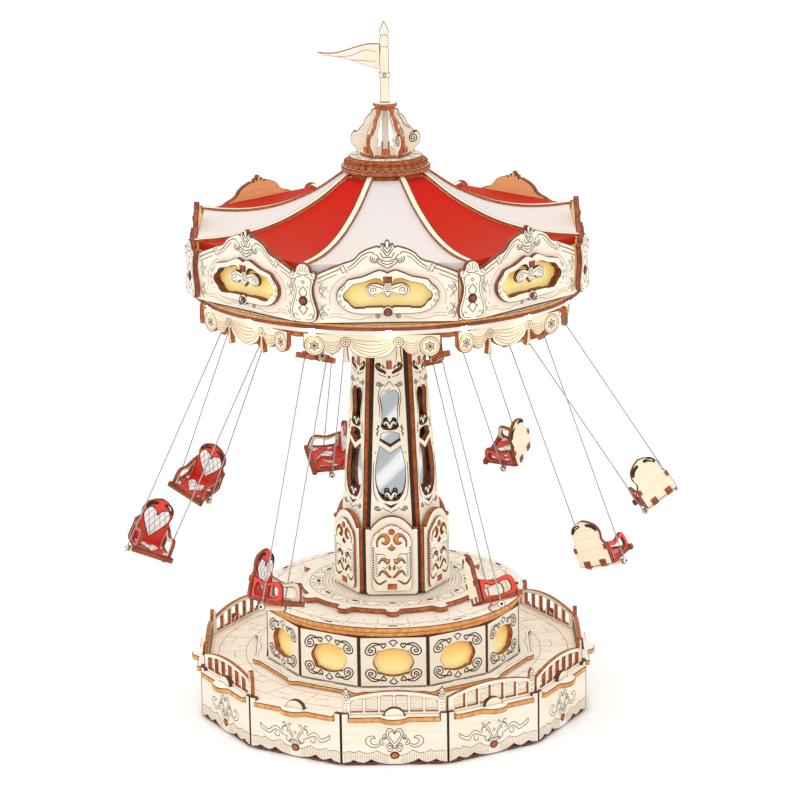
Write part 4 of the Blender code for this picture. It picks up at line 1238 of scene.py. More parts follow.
@dataclass
class Column:
    """Six-sided column: a scalloped plinth, arched foot boards and a leaning shaft of mirrored boards."""
    sides: int = 6
    foot_face: float = 19.6
    shaft_foot: float = 67.0
    shaft_head: float = 160.4
    face_low: float = 17.3
    face_high: float = 11.3
    half_low: float = 8.25
    half_high: float = 4.55

    def build(self) -> None:
        """Build every piece of the column."""
        self.plinth()
        self.foot_boards()
        self.shaft_boards()
        dress("column_mirror", SILVER)
        dress("column_spindle", STEEL)

    def plinth(self) -> None:
        """Round plate with twelve ears, a slotted band and fine rings around the column; the slots are
        near-black inlays of painted shade.
        """
        loop = []
        for ear in range(12):
            spots = ((-5.6, 34.6), (-4.5, 35.0), (-4.0, 36.6), (-2.6, 38.0), (0.0, 38.4), (2.6, 38.0),
                     (4.0, 36.6), (4.5, 35.0), (5.6, 34.6), (9.0, 34.6), (12.0, 34.6), (15.0, 34.6),
                     (18.0, 34.6), (21.0, 34.6))
            loop += [polar(r, TWELFTH * ear + t) for t, r in spots]
        board = Stock().cut([loop], 1.9)
        board.burn([hoop(r, 72) for r in (21.6, 22.9, 24.2, 25.5)], 0.14, 0.95, Cut.EXTRA)
        lace, dots = [hoop(r, 72) for r in (26.4, 31.2)], []
        for i in range(24):
            a = 15.0 * i
            lace += [[polar(27.2, a + 3.0), polar(28.8, a + 4.4), polar(27.4, a + 6.2), polar(29.4, a + 7.5),
                      polar(27.4, a + 8.8), polar(28.8, a + 10.6), polar(27.2, a + 12.0)]]
            dots += [polar(r, a + t) for t, r in ((5.2, 29.6), (7.5, 27.6), (9.8, 29.6), (3.4, 30.2),
                                                  (11.6, 30.2))]
        board.burn(lace, 0.22, 0.95, Cut.EXTRA).dots(dots, 0.3, 0.95)
        board.dots([polar(36.6, 30.0 * i + t) for i in range(12) for t in (-2.2, 2.2)], 0.24, 0.95)
        # Near-black inlays stand for the open slots: painted shade inside them.
        slot = Stock().inlay([whole([(0.0, -28.6), (0.9, -28.4), (1.7, -27.9), (0.9, -27.4), (0.0, -27.2)])],
                             0.95, Cut.BURN)
        stock = Stock().place(board, level(45.85))
        for i in range(12):
            stock.place(slot, level(45.85, 30.0 * i))
        stock.piece("column_plinth_board", "base", "plywood", (PAINTED_LIT_FACE, *WOOD[1:]), ["column_plinth"])

    def foot_boards(self) -> None:
        """Arched boards; on each a thinner panel, pierced with scrolls over amber wood."""
        half = 9.85
        arch = smooth([(7.75, 72.9), (7.4, 73.7), (5.0, 76.2), (2.7, 77.5), (0.0, 78.0)], 4)
        foot = [(0.0, 47.25), (8.4, 47.25), (9.4, 47.7), (half, 48.7), (half, 73.2), (8.3, 73.2)]
        panel = [(0.0, 49.0), (6.2, 49.0), (7.1, 49.9), (7.4, 51.4), (7.4, 68.2), (6.9, 70.2), (5.8, 71.8),
                 (4.7, 72.3), (4.0, 73.2), (3.0, 73.5), (2.2, 74.4), (0.0, 74.9)]
        upper = ribbon([(5.4, 66.4), (5.4, 68.6), (4.2, 70.5), (2.5, 70.9), (1.5, 69.3), (2.2, 67.8),
                        (3.7, 68.0)],
                       0.3, 0.5, 0.9, 1.6, 1.9, 1.4, 0.5)
        lower = ribbon([(4.9, 59.9), (4.0, 61.3), (2.7, 61.5), (1.6, 60.3), (0.95, 61.6)], 0.4, 0.8, 1.5, 1.4,
                       0.35)
        wave = ribbon([(4.9, 55.2), (3.9, 56.8), (2.6, 56.6), (1.5, 55.2), (0.4, 54.4)], 0.4, 0.8, 1.1, 0.9,
                      0.6)
        heel = ribbon([(6.7, 54.0), (5.8, 52.5), (4.5, 51.9), (3.3, 52.6), (2.2, 53.2)], 0.35, 0.5, 0.6, 0.5,
                      0.3)
        drop = petal(0.7, 57.1, 0.95, 2.3, -8.0)
        pierced = both([upper, lower, wave, heel, drop])
        pierced.append([(0.0, 64.8), (0.9, 65.3), (1.45, 66.0), (0.6, 66.4), (0.0, 67.4), (-0.6, 66.4),
                        (-1.45, 66.0), (-0.9, 65.3)])
        board = Stock().cut([whole(foot + arch)], upright=True)
        board.inlay([whole([(0.0, 49.6), (6.8, 49.6), (6.8, 71.0), (0.0, 74.2)])], slot=Cut.EXTRA)
        board.cut([whole(panel), *pierced], 0.9, HALF_PLY + 0.55, 0.12, upright=True)
        face = HALF_PLY + 1.0
        board.dots(pairs(*((6.85, 54.6 + 0.95 * i) for i in range(13))), 0.3, face)
        hatch = [[(5.3, 54.8 + 0.95 * i), (6.2, 55.3 + 0.95 * i)] for i in range(10)]
        board.burn(both(hatch), 0.34, face)
        board.burn(both([smooth([(6.2, 63.9), (5.2, 63.5), (3.6, 63.6), (2.4, 62.9)], 3)]), 0.2, face)
        board.burn(both([smooth([(3.4, 58.6), (2.4, 57.8), (1.8, 58.8)], 3)]), 0.2, face)
        board.cut([ring(0.0, 72.2, 1.25, 16)], 0.5, face, 0.15, Cut.EDGE)
        board.cut([box(0.0, 50.8, 3.4, 2.2)], 0.5, face, 0.15, Cut.EDGE)
        core = (self.foot_face - PLY) / math.cos(math.pi / self.sides)
        # A near-black strip behind each corner where two boards meet: painted shade in the open corner.
        gap = Stock().cut([box(core - 0.3, 60.0, 1.2, 25.0)], 1.6, face=Cut.BURN, edge=Cut.BURN)
        stock = Stock()
        for side in range(self.sides):
            stock.place(board, board_at(SIXTH * side, self.foot_face - HALF_PLY))
            stock.place(gap, fin_at(SIXTH * (side + 0.5)))
        stock.piece("column_foot_boards", "base", "plywood", AMBER_WOOD, ["column_foot"])

    def lowered(self, lines: Iterable[Loop]) -> list[Loop]:
        """Lines drawn at the model's height, moved into a shaft board's frame."""
        return moved(lines, y=-self.shaft_foot)

    def shaft_boards(self) -> None:
        """Leaning boards with two mirrored openings, curled bars across them, near-black crescents beside the
        bars and engraved scrolls.
        """
        heart_glass = whole([(0.0, 124.0), (0.9, 124.7), (2.3, 124.7), (3.3, 123.5), (3.5, 122.0),
                             (3.1, 119.2), (2.7, 116.4), (2.8, 114.4), (2.9, 112.4), (3.2, 111.4),
                             (2.2, 110.3), (0.0, 110.0)][::-1])
        mid_glass = whole([(0.0, 103.6), (3.8, 106.1), (3.3, 107.2), (3.3, 108.4), (1.9, 109.0),
                           (0.0, 109.2)])
        long_glass = whole([(0.0, 83.2), (1.6, 83.0), (3.0, 83.7), (4.4, 85.8), (5.2, 88.5), (5.6, 91.7),
                            (5.35, 96.4), (4.8, 99.8), (3.8, 103.7), (0.0, 100.9)])
        arm = ribbon([(3.35, 134.0), (3.5, 134.8), (4.2, 134.9), (4.6, 134.2), (4.1, 133.2), (3.2, 132.6),
                      (2.2, 132.1), (1.3, 131.4)],
                     0.3, 0.5, 0.6, 0.7, 0.8, 0.9, 0.8, 0.3)
        leg = ribbon([(1.6, 133.3), (2.1, 133.7), (2.4, 134.5)], 0.25, 0.5, 0.2)
        length = self.shaft_head - self.shaft_foot
        outline = [(-self.half_low, 0.0), (self.half_low, 0.0), (self.half_high, length),
                   (-self.half_high, length)]
        board = Stock().cut([outline, *self.lowered([heart_glass, mid_glass, long_glass, *both([arm])])],
                            upright=True)
        board.cut(self.lowered([whole([(0.0, 129.6), (5.2, 129.6), (5.2, 136.4), (0.0, 136.4)])]), 0.4, -1.3,
                  0.1, Cut.EXTRA, upright=True)
        board.cut(self.lowered([box(0.0, 134.5, 2.1, 3.3)]), 0.5, 0.9, 0.15, Cut.EDGE)
        horn = [(0.0, 110.4), (0.5, 111.8), (1.2, 112.8), (2.0, 112.5), (1.9, 111.6)]
        horns = [ribbon(line, 0.9, 0.9, 0.9, 0.7, 0.3) for line in (horn, *moved([horn], y=-27.0))]
        for loop in self.lowered(both(horns)):
            board.cut([loop], 1.6, 0.1, 0.12, upright=True)
        # Near-black crescents let in beside the curled bars: partly charred edges, partly painted shade on
        # the mirror.
        hook = ribbon([(3.0, 112.0), (2.9, 110.9), (1.9, 110.4), (1.1, 111.2), (0.5, 110.7)], 0.3, 0.9, 1.0,
                      0.7, 0.4)
        cap = ribbon([(0.5, 112.0), (1.2, 113.5), (2.2, 113.1), (2.6, 112.1)], 0.3, 0.6, 0.6, 0.2)
        foot_hook = ribbon([(3.6, 84.9), (2.7, 83.9), (1.7, 84.1), (1.0, 84.5)], 0.3, 0.9, 0.8, 0.3)
        foot_cap = ribbon([(0.4, 85.2), (1.2, 86.7), (2.2, 86.4), (2.6, 85.4)], 0.3, 0.6, 0.6, 0.2)
        board.inlay(self.lowered(both([hook, cap, foot_hook, foot_cap])), 0.7, Cut.BURN)
        board.inlay(self.lowered(both([leg])), slot=Cut.EDGE).burn(self.lowered(both([closed(leg)])), 0.2)
        chevron = [(-2.9, 82.2), (-1.3, 81.0), (0.0, 80.1), (1.3, 81.0), (2.9, 82.2), (1.4, 81.8),
                   (0.0, 81.3), (-1.4, 81.8)]
        board.inlay(self.lowered([diamond(0.0, 129.9, 0.6), chevron, diamond(0.0, 125.3, 0.35)]),
                    slot=Cut.BURN)
        board.burn(self.lowered([[(-1.8, 126.3), (0.0, 128.3), (1.8, 126.3)]]), 0.32)
        scrolls = volute(3.9, 127.3, 0.9, 150.0) + [smooth([(3.9, 131.4), (2.9, 130.6), (1.0, 130.0)], 3)]
        scrolls += [smooth([(3.2, 126.2), (3.9, 124.6), (4.2, 121.8), (3.7, 118.4), (3.6, 114.6)], 3)]
        scrolls += volute(5.3, 80.2, 0.85, 160.0) + [[(4.1, 79.4), (3.1, 80.4), (1.7, 79.2), (0.9, 79.2),
                                                      (0.0, 78.4)]]
        scrolls += [smooth([(6.2, 98.0), (6.5, 92.0), (6.2, 86.0), (4.8, 82.8)], 3)]
        sprig = [smooth([(4.5, 111.9), (4.1, 111.0), (4.8, 110.4), (4.2, 109.6)], 3),
                 smooth([(4.2, 109.4), (4.9, 108.8), (4.5, 107.8)], 3)]
        board.burn(self.lowered(both(scrolls)), 0.2).burn(self.lowered(both(sprig)), 0.34)
        board.dots(self.lowered([pairs((3.6, 127.4), (5.1, 80.4), (5.5, 101.4))])[0], 0.24)
        drop = self.face_low - self.face_high
        lean = math.degrees(math.atan2(drop, length))
        to_corner = 1.0 / math.cos(math.pi / self.sides)
        low, high = (self.face_low - PLY) * to_corner, (self.face_high - PLY) * to_corner
        # A near-black strip behind each corner where two boards meet: painted shade in the open corner.
        gap = Stock().cut([[(low - 1.4, self.shaft_foot), (low - 0.1, self.shaft_foot),
                            (high - 0.1, self.shaft_head),
                            (high - 1.4, self.shaft_head)]], 1.6, face=Cut.BURN, edge=Cut.BURN)
        stock = Stock()
        for side in range(self.sides):
            front = board_at(SIXTH * side, self.face_low, self.shaft_foot, lean)
            stock.place(board, front @ Matrix.Translation((0.0, 0.0, -HALF_PLY)))
            stock.place(gap, fin_at(SIXTH * (side + 0.5)))
        stock.piece("column_shaft_boards", "base", "plywood", AMBER_WOOD, ["column_shaft"])


@dataclass
class Canopy:
    """Round canopy floor with its hangers, lamps and the ring of swagged boards."""
    sides: int = 8
    under_turn: float = -5.0
    radius: float = 72.3
    lower_radius: float = 72.7
    floor_top: float = 164.3
    lamp_radius: float = 69.95
    valance_radius: float = 72.5
    valance_top: float = 159.7
    knot: float = 9.35
    rosette: float = 20.4

    def build(self) -> None:
        """Build every piece under the friezes."""
        self.floor()
        self.lamps()
        self.valance()

    def floor(self) -> None:
        """Two round plates, the upper edged as a painted lit band over the lower's painted shaded band, the
        hub, and a forked hanger over each swing.
        """
        hole = disc(2.6, 16)
        # The upper plate's edge takes the light burnt edge and the lower plate's the deep one: painted light
        # on the upper band, painted shade on the lower.
        upper = Stock().cut([disc(self.radius - 0.02, 128), hole], 1.15, bevel=0.16, edge=Cut.EXTRA)
        lower = Stock().cut([disc(self.lower_radius - 0.02, 128), hole], 1.2, bevel=0.16)
        rays = [[polar(20.0, 22.5 + 45.0 * i), polar(62.0, 22.5 + 45.0 * i)] for i in range(8)]
        lower.burn(rays + [hoop(r, 64) for r in (18.0, 24.0, 62.0)], 0.3, 0.6)
        stock = Stock().place(upper, level(self.floor_top - 0.58))
        stock.place(lower, Matrix.Rotation(math.pi, 4, "X") @ level(-162.6))
        stock.place(Stock().cut([disc(6.0, 32), hole], 4.0), level(self.floor_top + 2.0))
        horn = ribbon([(0.6, 12.0), (1.9, 10.6), (2.0, 8.4), (0.9, 7.4), (0.5, 8.6)], 0.4, 0.8, 0.9, 0.7, 0.3)
        cheek = whole([(0.0, -2.0), (1.3, -1.8), (2.1, -0.6), (2.2, 0.9), (1.7, 2.4), (2.3, 4.0), (2.9, 6.6),
                       (2.9, 9.6), (2.4, 11.6), (3.2, 13.2), (3.2, 14.6), (0.0, 14.6)])
        fork = Stock().cut([cheek, *both([horn]), petal(0.0, 3.0, 1.1, 2.6)], 1.0, bevel=0.12)
        fork.burn([hoop(1.4, 12)], 0.22, 0.5)
        pin = Stock().tube([(0.0, 0.0, -2.7), (0.0, 0.0, 2.7)], 0.7, 12, Cut.BURN)
        for index in range(8):
            place = swing_frame(index)
            for side in (-1.0, 1.0):
                turn = Matrix.Rotation(0.0 if side > 0 else math.pi, 4, "Y")
                stock.place(fork, place @ Matrix.Translation((0.0, 0.0, side * 1.8)) @ turn)
            stock.place(pin, place)
        stock.piece("canopy_floor_boards", "canopy", "plywood", (HONEY_FACE, EDGE_DEEP, BURN, EDGE_LIGHT),
                    ["canopy_floor"])

    def lamps(self) -> None:
        """A small lens at every sixteenth of the light ring."""
        dress("light_ring", STRIP)
        lens = [(0.0, -1.0), (0.75, -0.85), (1.2, -0.35), (1.2, 0.35), (0.75, 0.85), (0.0, 1.0)]
        stock = Stock()
        for i in range(2 * self.sides):
            x, y = polar(self.lamp_radius, 22.5 * i)
            stock.lathe([(r, 160.85 + h) for r, h in lens], x, y, 12)
        stock.piece("canopy_lamps", "canopy", "light_strip", (LENS,))

    def valance_loop(self) -> Loop:
        """One swagged board.

        Returns:
            Its outline, heights as they are on the model.
        """
        half = smooth([(0.0, 150.75), (3.0, 151.0), (5.4, 151.9), (7.2, 153.2), (8.3, 155.0)], 3)
        half += [(8.6, 154.8), (8.45, 152.0), (8.1, 149.5), (8.9, 149.25), (9.35, 149.7), (9.8, 149.25),
                 (10.6, 149.5), (10.25, 152.0), (10.1, 154.8), (10.4, 155.0)]
        half += smooth([(10.9, 154.4), (12.0, 153.0), (13.6, 152.1), (15.2, 152.3), (16.7, 153.4)], 3)
        half += arc(self.rosette, 155.3, 3.7, 206.0, 325.0, 12) + [(24.3, 154.6), (24.3, self.valance_top)]
        return whole(half)

    def valance(self) -> None:
        """Ring of boards cut as swags and tassels, with knots and rosettes."""
        folds = []
        for k in range(5):
            edge, sag = 157.7 - 0.62 * k, 156.9 - 1.35 * k
            folds.append(smooth([(-7.6 + 0.1 * k, edge), (-4.2, 0.35 * edge + 0.65 * sag), (0.0, sag),
                                 (4.2, 0.35 * edge + 0.65 * sag), (7.6 - 0.1 * k, edge)], 3))
        small = [smooth([(11.1, 157.2 - 0.6 * k), (13.8, 156.3 - 0.95 * k), (16.6, 157.0 - 0.7 * k)], 4)
                 for k in range(5)]
        knot = [hoop(1.75, 16, self.knot, 156.7), hoop(0.95, 12, self.knot, 156.7)]
        tassel = [[(9.35, 154.6), (9.35, 150.2)], [(8.95, 154.4), (8.75, 150.0)],
                  [(9.75, 154.4), (9.95, 150.0)]]
        rims = [hoop(3.55, 24, self.rosette, 155.3), hoop(2.8, 20, self.rosette, 155.3)]
        flower = [closed(petal(self.rosette, 155.3, 0.9, 1.9, 60.0 * i)) for i in range(6)]
        board = Stock().cut([self.valance_loop()], bevel=0.26)
        board.burn([*folds, *both(small + tassel + rims[1:])], 0.2, slot=Cut.EXTRA)
        board.burn(both(knot + rims[:1] + flower), 0.22).dots(pairs((self.knot, 156.7)), 0.35)
        stock = Stock()
        frame_loops = [[polar(70.9 - inset, EIGHTH * (i + 0.5) + self.under_turn) for i in range(8)]
                       for inset in (0.0, 4.4)]
        stock.cut(frame_loops, 1.6, self.valance_top - 0.82)
        for side in range(self.sides):
            stock.place(board, board_at(EIGHTH * side + self.under_turn,
                                        apothem(self.valance_radius, 8) - HALF_PLY))
        stock.piece("valance_boards", "canopy", "plywood", (HONEY_FACE, EDGE, BROWN, SEPIA), ["valance"])


@dataclass
class Friezes:
    """Eight crested boards with a framed amber window, and the shield boards on their corners."""
    sides: int = 8
    radius: float = 76.6
    sill: float = 165.2
    left: float = 26.85
    right: float = 24.8
    shield_radius: float = 77.2

    def build(self) -> None:
        """Build the eight boards and colour the sheet behind them."""
        dress("frieze_windows", AMBER_HIGH)
        board, shield = self.board(), self.shield()
        for side in range(self.sides):
            stock = Stock().place(board, board_at(EIGHTH * side, apothem(self.radius, 8), self.sill))
            stock.place(shield, board_at(EIGHTH * (side - 0.5), self.shield_radius, self.sill))
            stock.piece(f"frieze_board_{side + 1}", "canopy", "plywood", FRIEZE_WOOD, [f"frieze_{side + 1}"])

    def crest(self) -> Loop:
        """Right half of the top edge.

        Returns:
            Its line, from the end to the palmette's tip.
        """
        rise = smooth([(24.3, 17.3), (21.4, 18.5), (17.3, 20.1), (15.4, 20.9), (13.4, 21.4), (11.4, 22.4),
                       (9.9, 24.1), (7.6, 25.5), (5.3, 26.3), (3.7, 26.8)], 3)
        return rise + [(2.6, 26.4), (2.35, 27.2), (1.9, 27.7), (1.3, 27.6), (1.0, 27.1), (0.9, 28.0),
                       (0.5, 28.7), (0.0, 28.95)]

    def board(self) -> Stock:
        """One board: its plate, the raised window frame, the hanging ornament and the engraving.

        Returns:
            The board, its face at Z = 0.
        """
        crest = self.crest()
        outer = [(-self.left, 16.9), (-self.left, -0.55), (self.right, -0.55), (self.right, 16.9)]
        outer += crest + [(-x, y) for x, y in reversed(crest[:-1])]
        window = whole([(0.0, 5.3), (1.7, 5.3), (1.9, 5.6), (7.9, 5.5), (8.2, 5.2), (11.6, 5.15), (12.8, 6.0),
                        (13.7, 7.4), (15.0, 8.2), (15.5, 9.6), (15.0, 10.7), (13.9, 11.4), (13.1, 12.6),
                        (12.0, 13.5), (8.0, 14.3), (5.6, 15.3), (3.9, 15.6), (2.6, 15.2), (1.9, 14.0),
                        (0.0, 14.0)])
        edge = whole(smooth([(0.0, 2.9), (6.0, 2.9), (11.0, 3.1), (14.7, 4.4), (17.4, 7.2), (17.95, 10.0),
                             (16.9, 12.2), (14.9, 14.0), (13.9, 15.3), (9.0, 16.3), (6.0, 17.5), (3.1, 18.6),
                             (1.2, 18.2), (0.0, 17.6)],
                            2))
        # Its back takes the rear finish, the birch face with painted amber light.
        work = Stock().cut([outer, grown(window, 0.25)], PLY, -1.0, 0.28, rear=Cut.REAR)
        work.cut([edge, window], 1.7, 0.75, 0.26)
        self.ornament(work)
        self.engrave(work)
        return work

    def ornament(self, work: Stock) -> None:
        """Add the double scroll that hangs in the window, its tenon and the stud below.

        Args:
            work: the board that they go on.
        """
        wing = smooth([(1.2, 12.7), (3.0, 13.5), (5.2, 13.8), (7.1, 12.8), (7.7, 11.1), (6.8, 9.6),
                       (5.0, 9.1), (3.6, 9.5), (2.6, 10.4), (1.2, 10.9)], 3, True)
        for loop in both([wing]):
            work.cut([loop[::-1]], 1.5, 0.3, 0.16)
        work.cut([heart(0.0, 8.4, 3.5, 3.2)], 1.5, 0.36, 0.14).cut([ring(0.0, 12.4, 1.55, 16)], 1.5, 0.42,
                                                                   0.14)
        work.cut([box(0.0, 14.4, 2.4, 1.8)], 1.5, 0.3, 0.12)
        work.cut([box(0.0, 15.3, 3.1, 2.0)], 0.7, 1.6, 0.16, Cut.EDGE)
        curl = [arc(5.2, 11.4, 1.75, 150.0, -150.0, 14), arc(5.1, 11.3, 0.95, 200.0, -60.0, 10),
                smooth([(3.7, 12.5), (2.6, 12.3), (1.5, 11.6)], 3)]
        work.burn(both(curl), 0.2, 1.05).dots([(-5.0, 11.2), (5.0, 11.2)], 0.22, 1.05)
        work.burn([hoop(0.85, 12, 0.0, 12.4)], 0.18, 1.17).dots([(0.0, 12.4)], 0.22, 1.17)
        work.burn([closed(heart(0.0, 9.0, 2.2, 2.0))], 0.16, 1.11)
        work.cut([ring(0.0, 3.9, 1.9, 20)], 1.7, 0.8, 0.2).cut([ring(0.0, 3.8, 1.15, 18)], 0.6, 1.75, 0.2,
                                                               Cut.EDGE)
        face = 1.6
        work.burn(both(volute(3.6, 1.9, 0.8, 20.0)) + both([[(2.4, 4.3), (3.6, 4.6), (5.6, 4.3)],
                                                            [(2.2, 3.3), (3.2, 3.0)]]), 0.17, 0.0)
        rim = [(16.5, 7.6, 0.55), (16.9, 9.7, 0.65), (16.1, 12.2, 0.6)]
        work.burn(both([closed(diamond(x, y, r)) for x, y, r in rim]), 0.18, face)
        work.dots(pairs((15.2, 5.9), (15.0, 13.0)), 0.2, face)
        work.burn([hoop(1.3, 18, 0.0, 3.8)], 0.3, 2.5)

    def engrave(self, work: Stock) -> None:
        """Add the double line along the crest, the volutes below the palmette and the corner scrolls.

        Args:
            work: the board that they are burnt into.
        """
        outer = smooth([(24.6, 15.4), (21.0, 17.1), (17.2, 18.6), (16.2, 19.0)], 4)
        inner = smooth([(14.0, 19.2), (12.6, 20.1), (11.0, 21.4), (8.8, 23.6), (6.4, 24.7), (5.0, 24.6),
                        (4.6, 23.8)], 4)
        second = smooth([(14.2, 18.2), (12.0, 19.3), (10.4, 20.6), (8.4, 22.5), (6.9, 23.4)], 4)
        low = smooth([(24.6, 13.9), (21.0, 15.6), (17.6, 17.0)], 4)
        clasp = [closed([(14.4, 18.0), (15.6, 17.5), (16.5, 19.3), (15.4, 20.3)]),
                 [(14.2, 17.5), (13.8, 17.9)], [(16.9, 19.8), (17.3, 19.2)]]
        scroll = [arc(4.5, 22.4, 1.5, 100.0, 400.0, 12), arc(4.4, 22.3, 0.8, 160.0, 420.0, 10),
                  smooth([(3.6, 21.1), (2.0, 20.0), (0.0, 18.9)], 3),
                  smooth([(2.6, 21.6), (1.4, 20.7), (0.0, 20.2)], 3),
                  smooth([(3.2, 22.4), (1.8, 21.9), (0.9, 21.5), (0.0, 21.4)], 3)]
        scallop = [smooth([(2.4, 24.6), (1.9, 23.3), (1.1, 22.6), (0.5, 23.0), (0.0, 22.6)], 3),
                   smooth([(2.2, 26.0), (1.3, 24.9), (0.7, 23.9), (0.0, 23.4)], 3),
                   smooth([(1.8, 27.2), (1.2, 26.0), (0.5, 24.8), (0.0, 24.4)], 3),
                   [(0.7, 28.0), (0.5, 26.6), (0.0, 25.6)]]
        corner = []
        for top, flip in ((12.7, 1.0), (2.2, -1.0)):
            corner += [arc(22.4, top, 1.25, 90.0 * flip, -190.0 * flip, 12), arc(22.5, top, 0.55, 60.0 * flip,
                -200.0 * flip, 8)]
            corner += [smooth([(23.6, top), (24.0, top - 1.6 * flip), (23.1, top - 2.9 * flip),
                               (23.4, top - 4.0 * flip)], 3),
                       smooth([(22.1, top - 1.6 * flip), (22.9, top - 2.2 * flip), (22.5, top - 3.4 * flip),
                               (21.6, top - 4.2 * flip)], 3)]
        sill = [smooth([(20.9, 1.6), (17.5, 1.9), (13.6, 0.9), (9.6, 0.7), (6.6, 1.5), (5.2, 1.1)], 4),
                smooth([(20.6, 2.6), (18.0, 3.0), (15.6, 2.4)], 3)]
        hem = [smooth([(19.9, 6.0), (20.3, 9.0), (19.4, 12.0), (17.4, 14.6), (14.6, 16.4)], 4)]
        work.burn(both([outer, inner, *clasp, *scroll, *scallop]), 0.24, 0.0)
        work.burn(both([second, low, *corner]), 0.17, 0.0).burn(both(sill + hem), 0.15, 0.0, Cut.EXTRA)
        work.dots(pairs((4.4, 22.3), (20.8, 11.0), (20.8, 4.4)), 0.2, 0.0)

    def shield(self) -> Stock:
        """One corner board, waisted, with a stud between spades and a fan over two curls on top.

        Returns:
            The board, its face at Z = 0.
        """
        half = smooth([(0.0, 0.1), (2.6, 0.2), (4.3, 0.9), (5.15, 2.6), (5.1, 5.0), (4.4, 7.2), (3.7, 9.6),
                       (3.5, 12.4), (4.1, 14.6), (4.7, 16.2)], 2)
        half += [*arc(3.9, 17.4, 1.15, -40.0, 140.0, 8), (2.8, 18.4), *arc(0.0, 18.6, 2.75, 10.0, 90.0, 6)]
        # Its back too takes the rear finish with painted amber light.
        work = Stock().cut([whole(half)], PLY, -1.0, 0.28, rear=Cut.REAR)
        spade = [closed(petal(0.0, 8.9, 3.0, 4.2)), closed(petal(0.0, 6.9, 2.8, 4.0, 180.0)),
                 closed(diamond(0.0, 14.6, 0.6))]
        frame_line = smooth([(0.9, 1.3), (2.6, 1.2), (3.9, 2.2), (4.2, 4.4), (3.5, 7.0), (2.8, 9.6),
                             (2.6, 12.4), (3.2, 14.6), (2.4, 16.2), (0.8, 16.6)], 3)
        curls = [arc(3.9, 17.4, 0.6, 0.0, 300.0, 8), arc(3.0, 2.6, 0.7, -60.0, 200.0, 8),
                 arc(3.6, 15.2, 0.6, 0.0, 260.0, 8)]
        rays = [[(0.0, 18.2), (0.0, 20.8)], [(0.7, 18.2), (1.3, 20.4)], [(1.3, 18.0), (2.2, 19.3)],
                smooth([(2.4, 17.8), (1.2, 17.2), (0.0, 17.1)], 3)]
        work.burn(spade + both(rays), 0.22, 0.0).burn(both([frame_line, *curls]), 0.17, 0.0)
        work.dots(pairs((1.7, 5.2), (1.6, 12.8), (2.4, 7.9)), 0.22, 0.0)
        work.burn([hoop(1.45, 18, 0.0, 7.9)], 0.4, 0.0)
        return work.cut([ring(0.0, 7.9, 1.15, 18)], 0.6, 0.15, 0.15, Cut.EDGE)


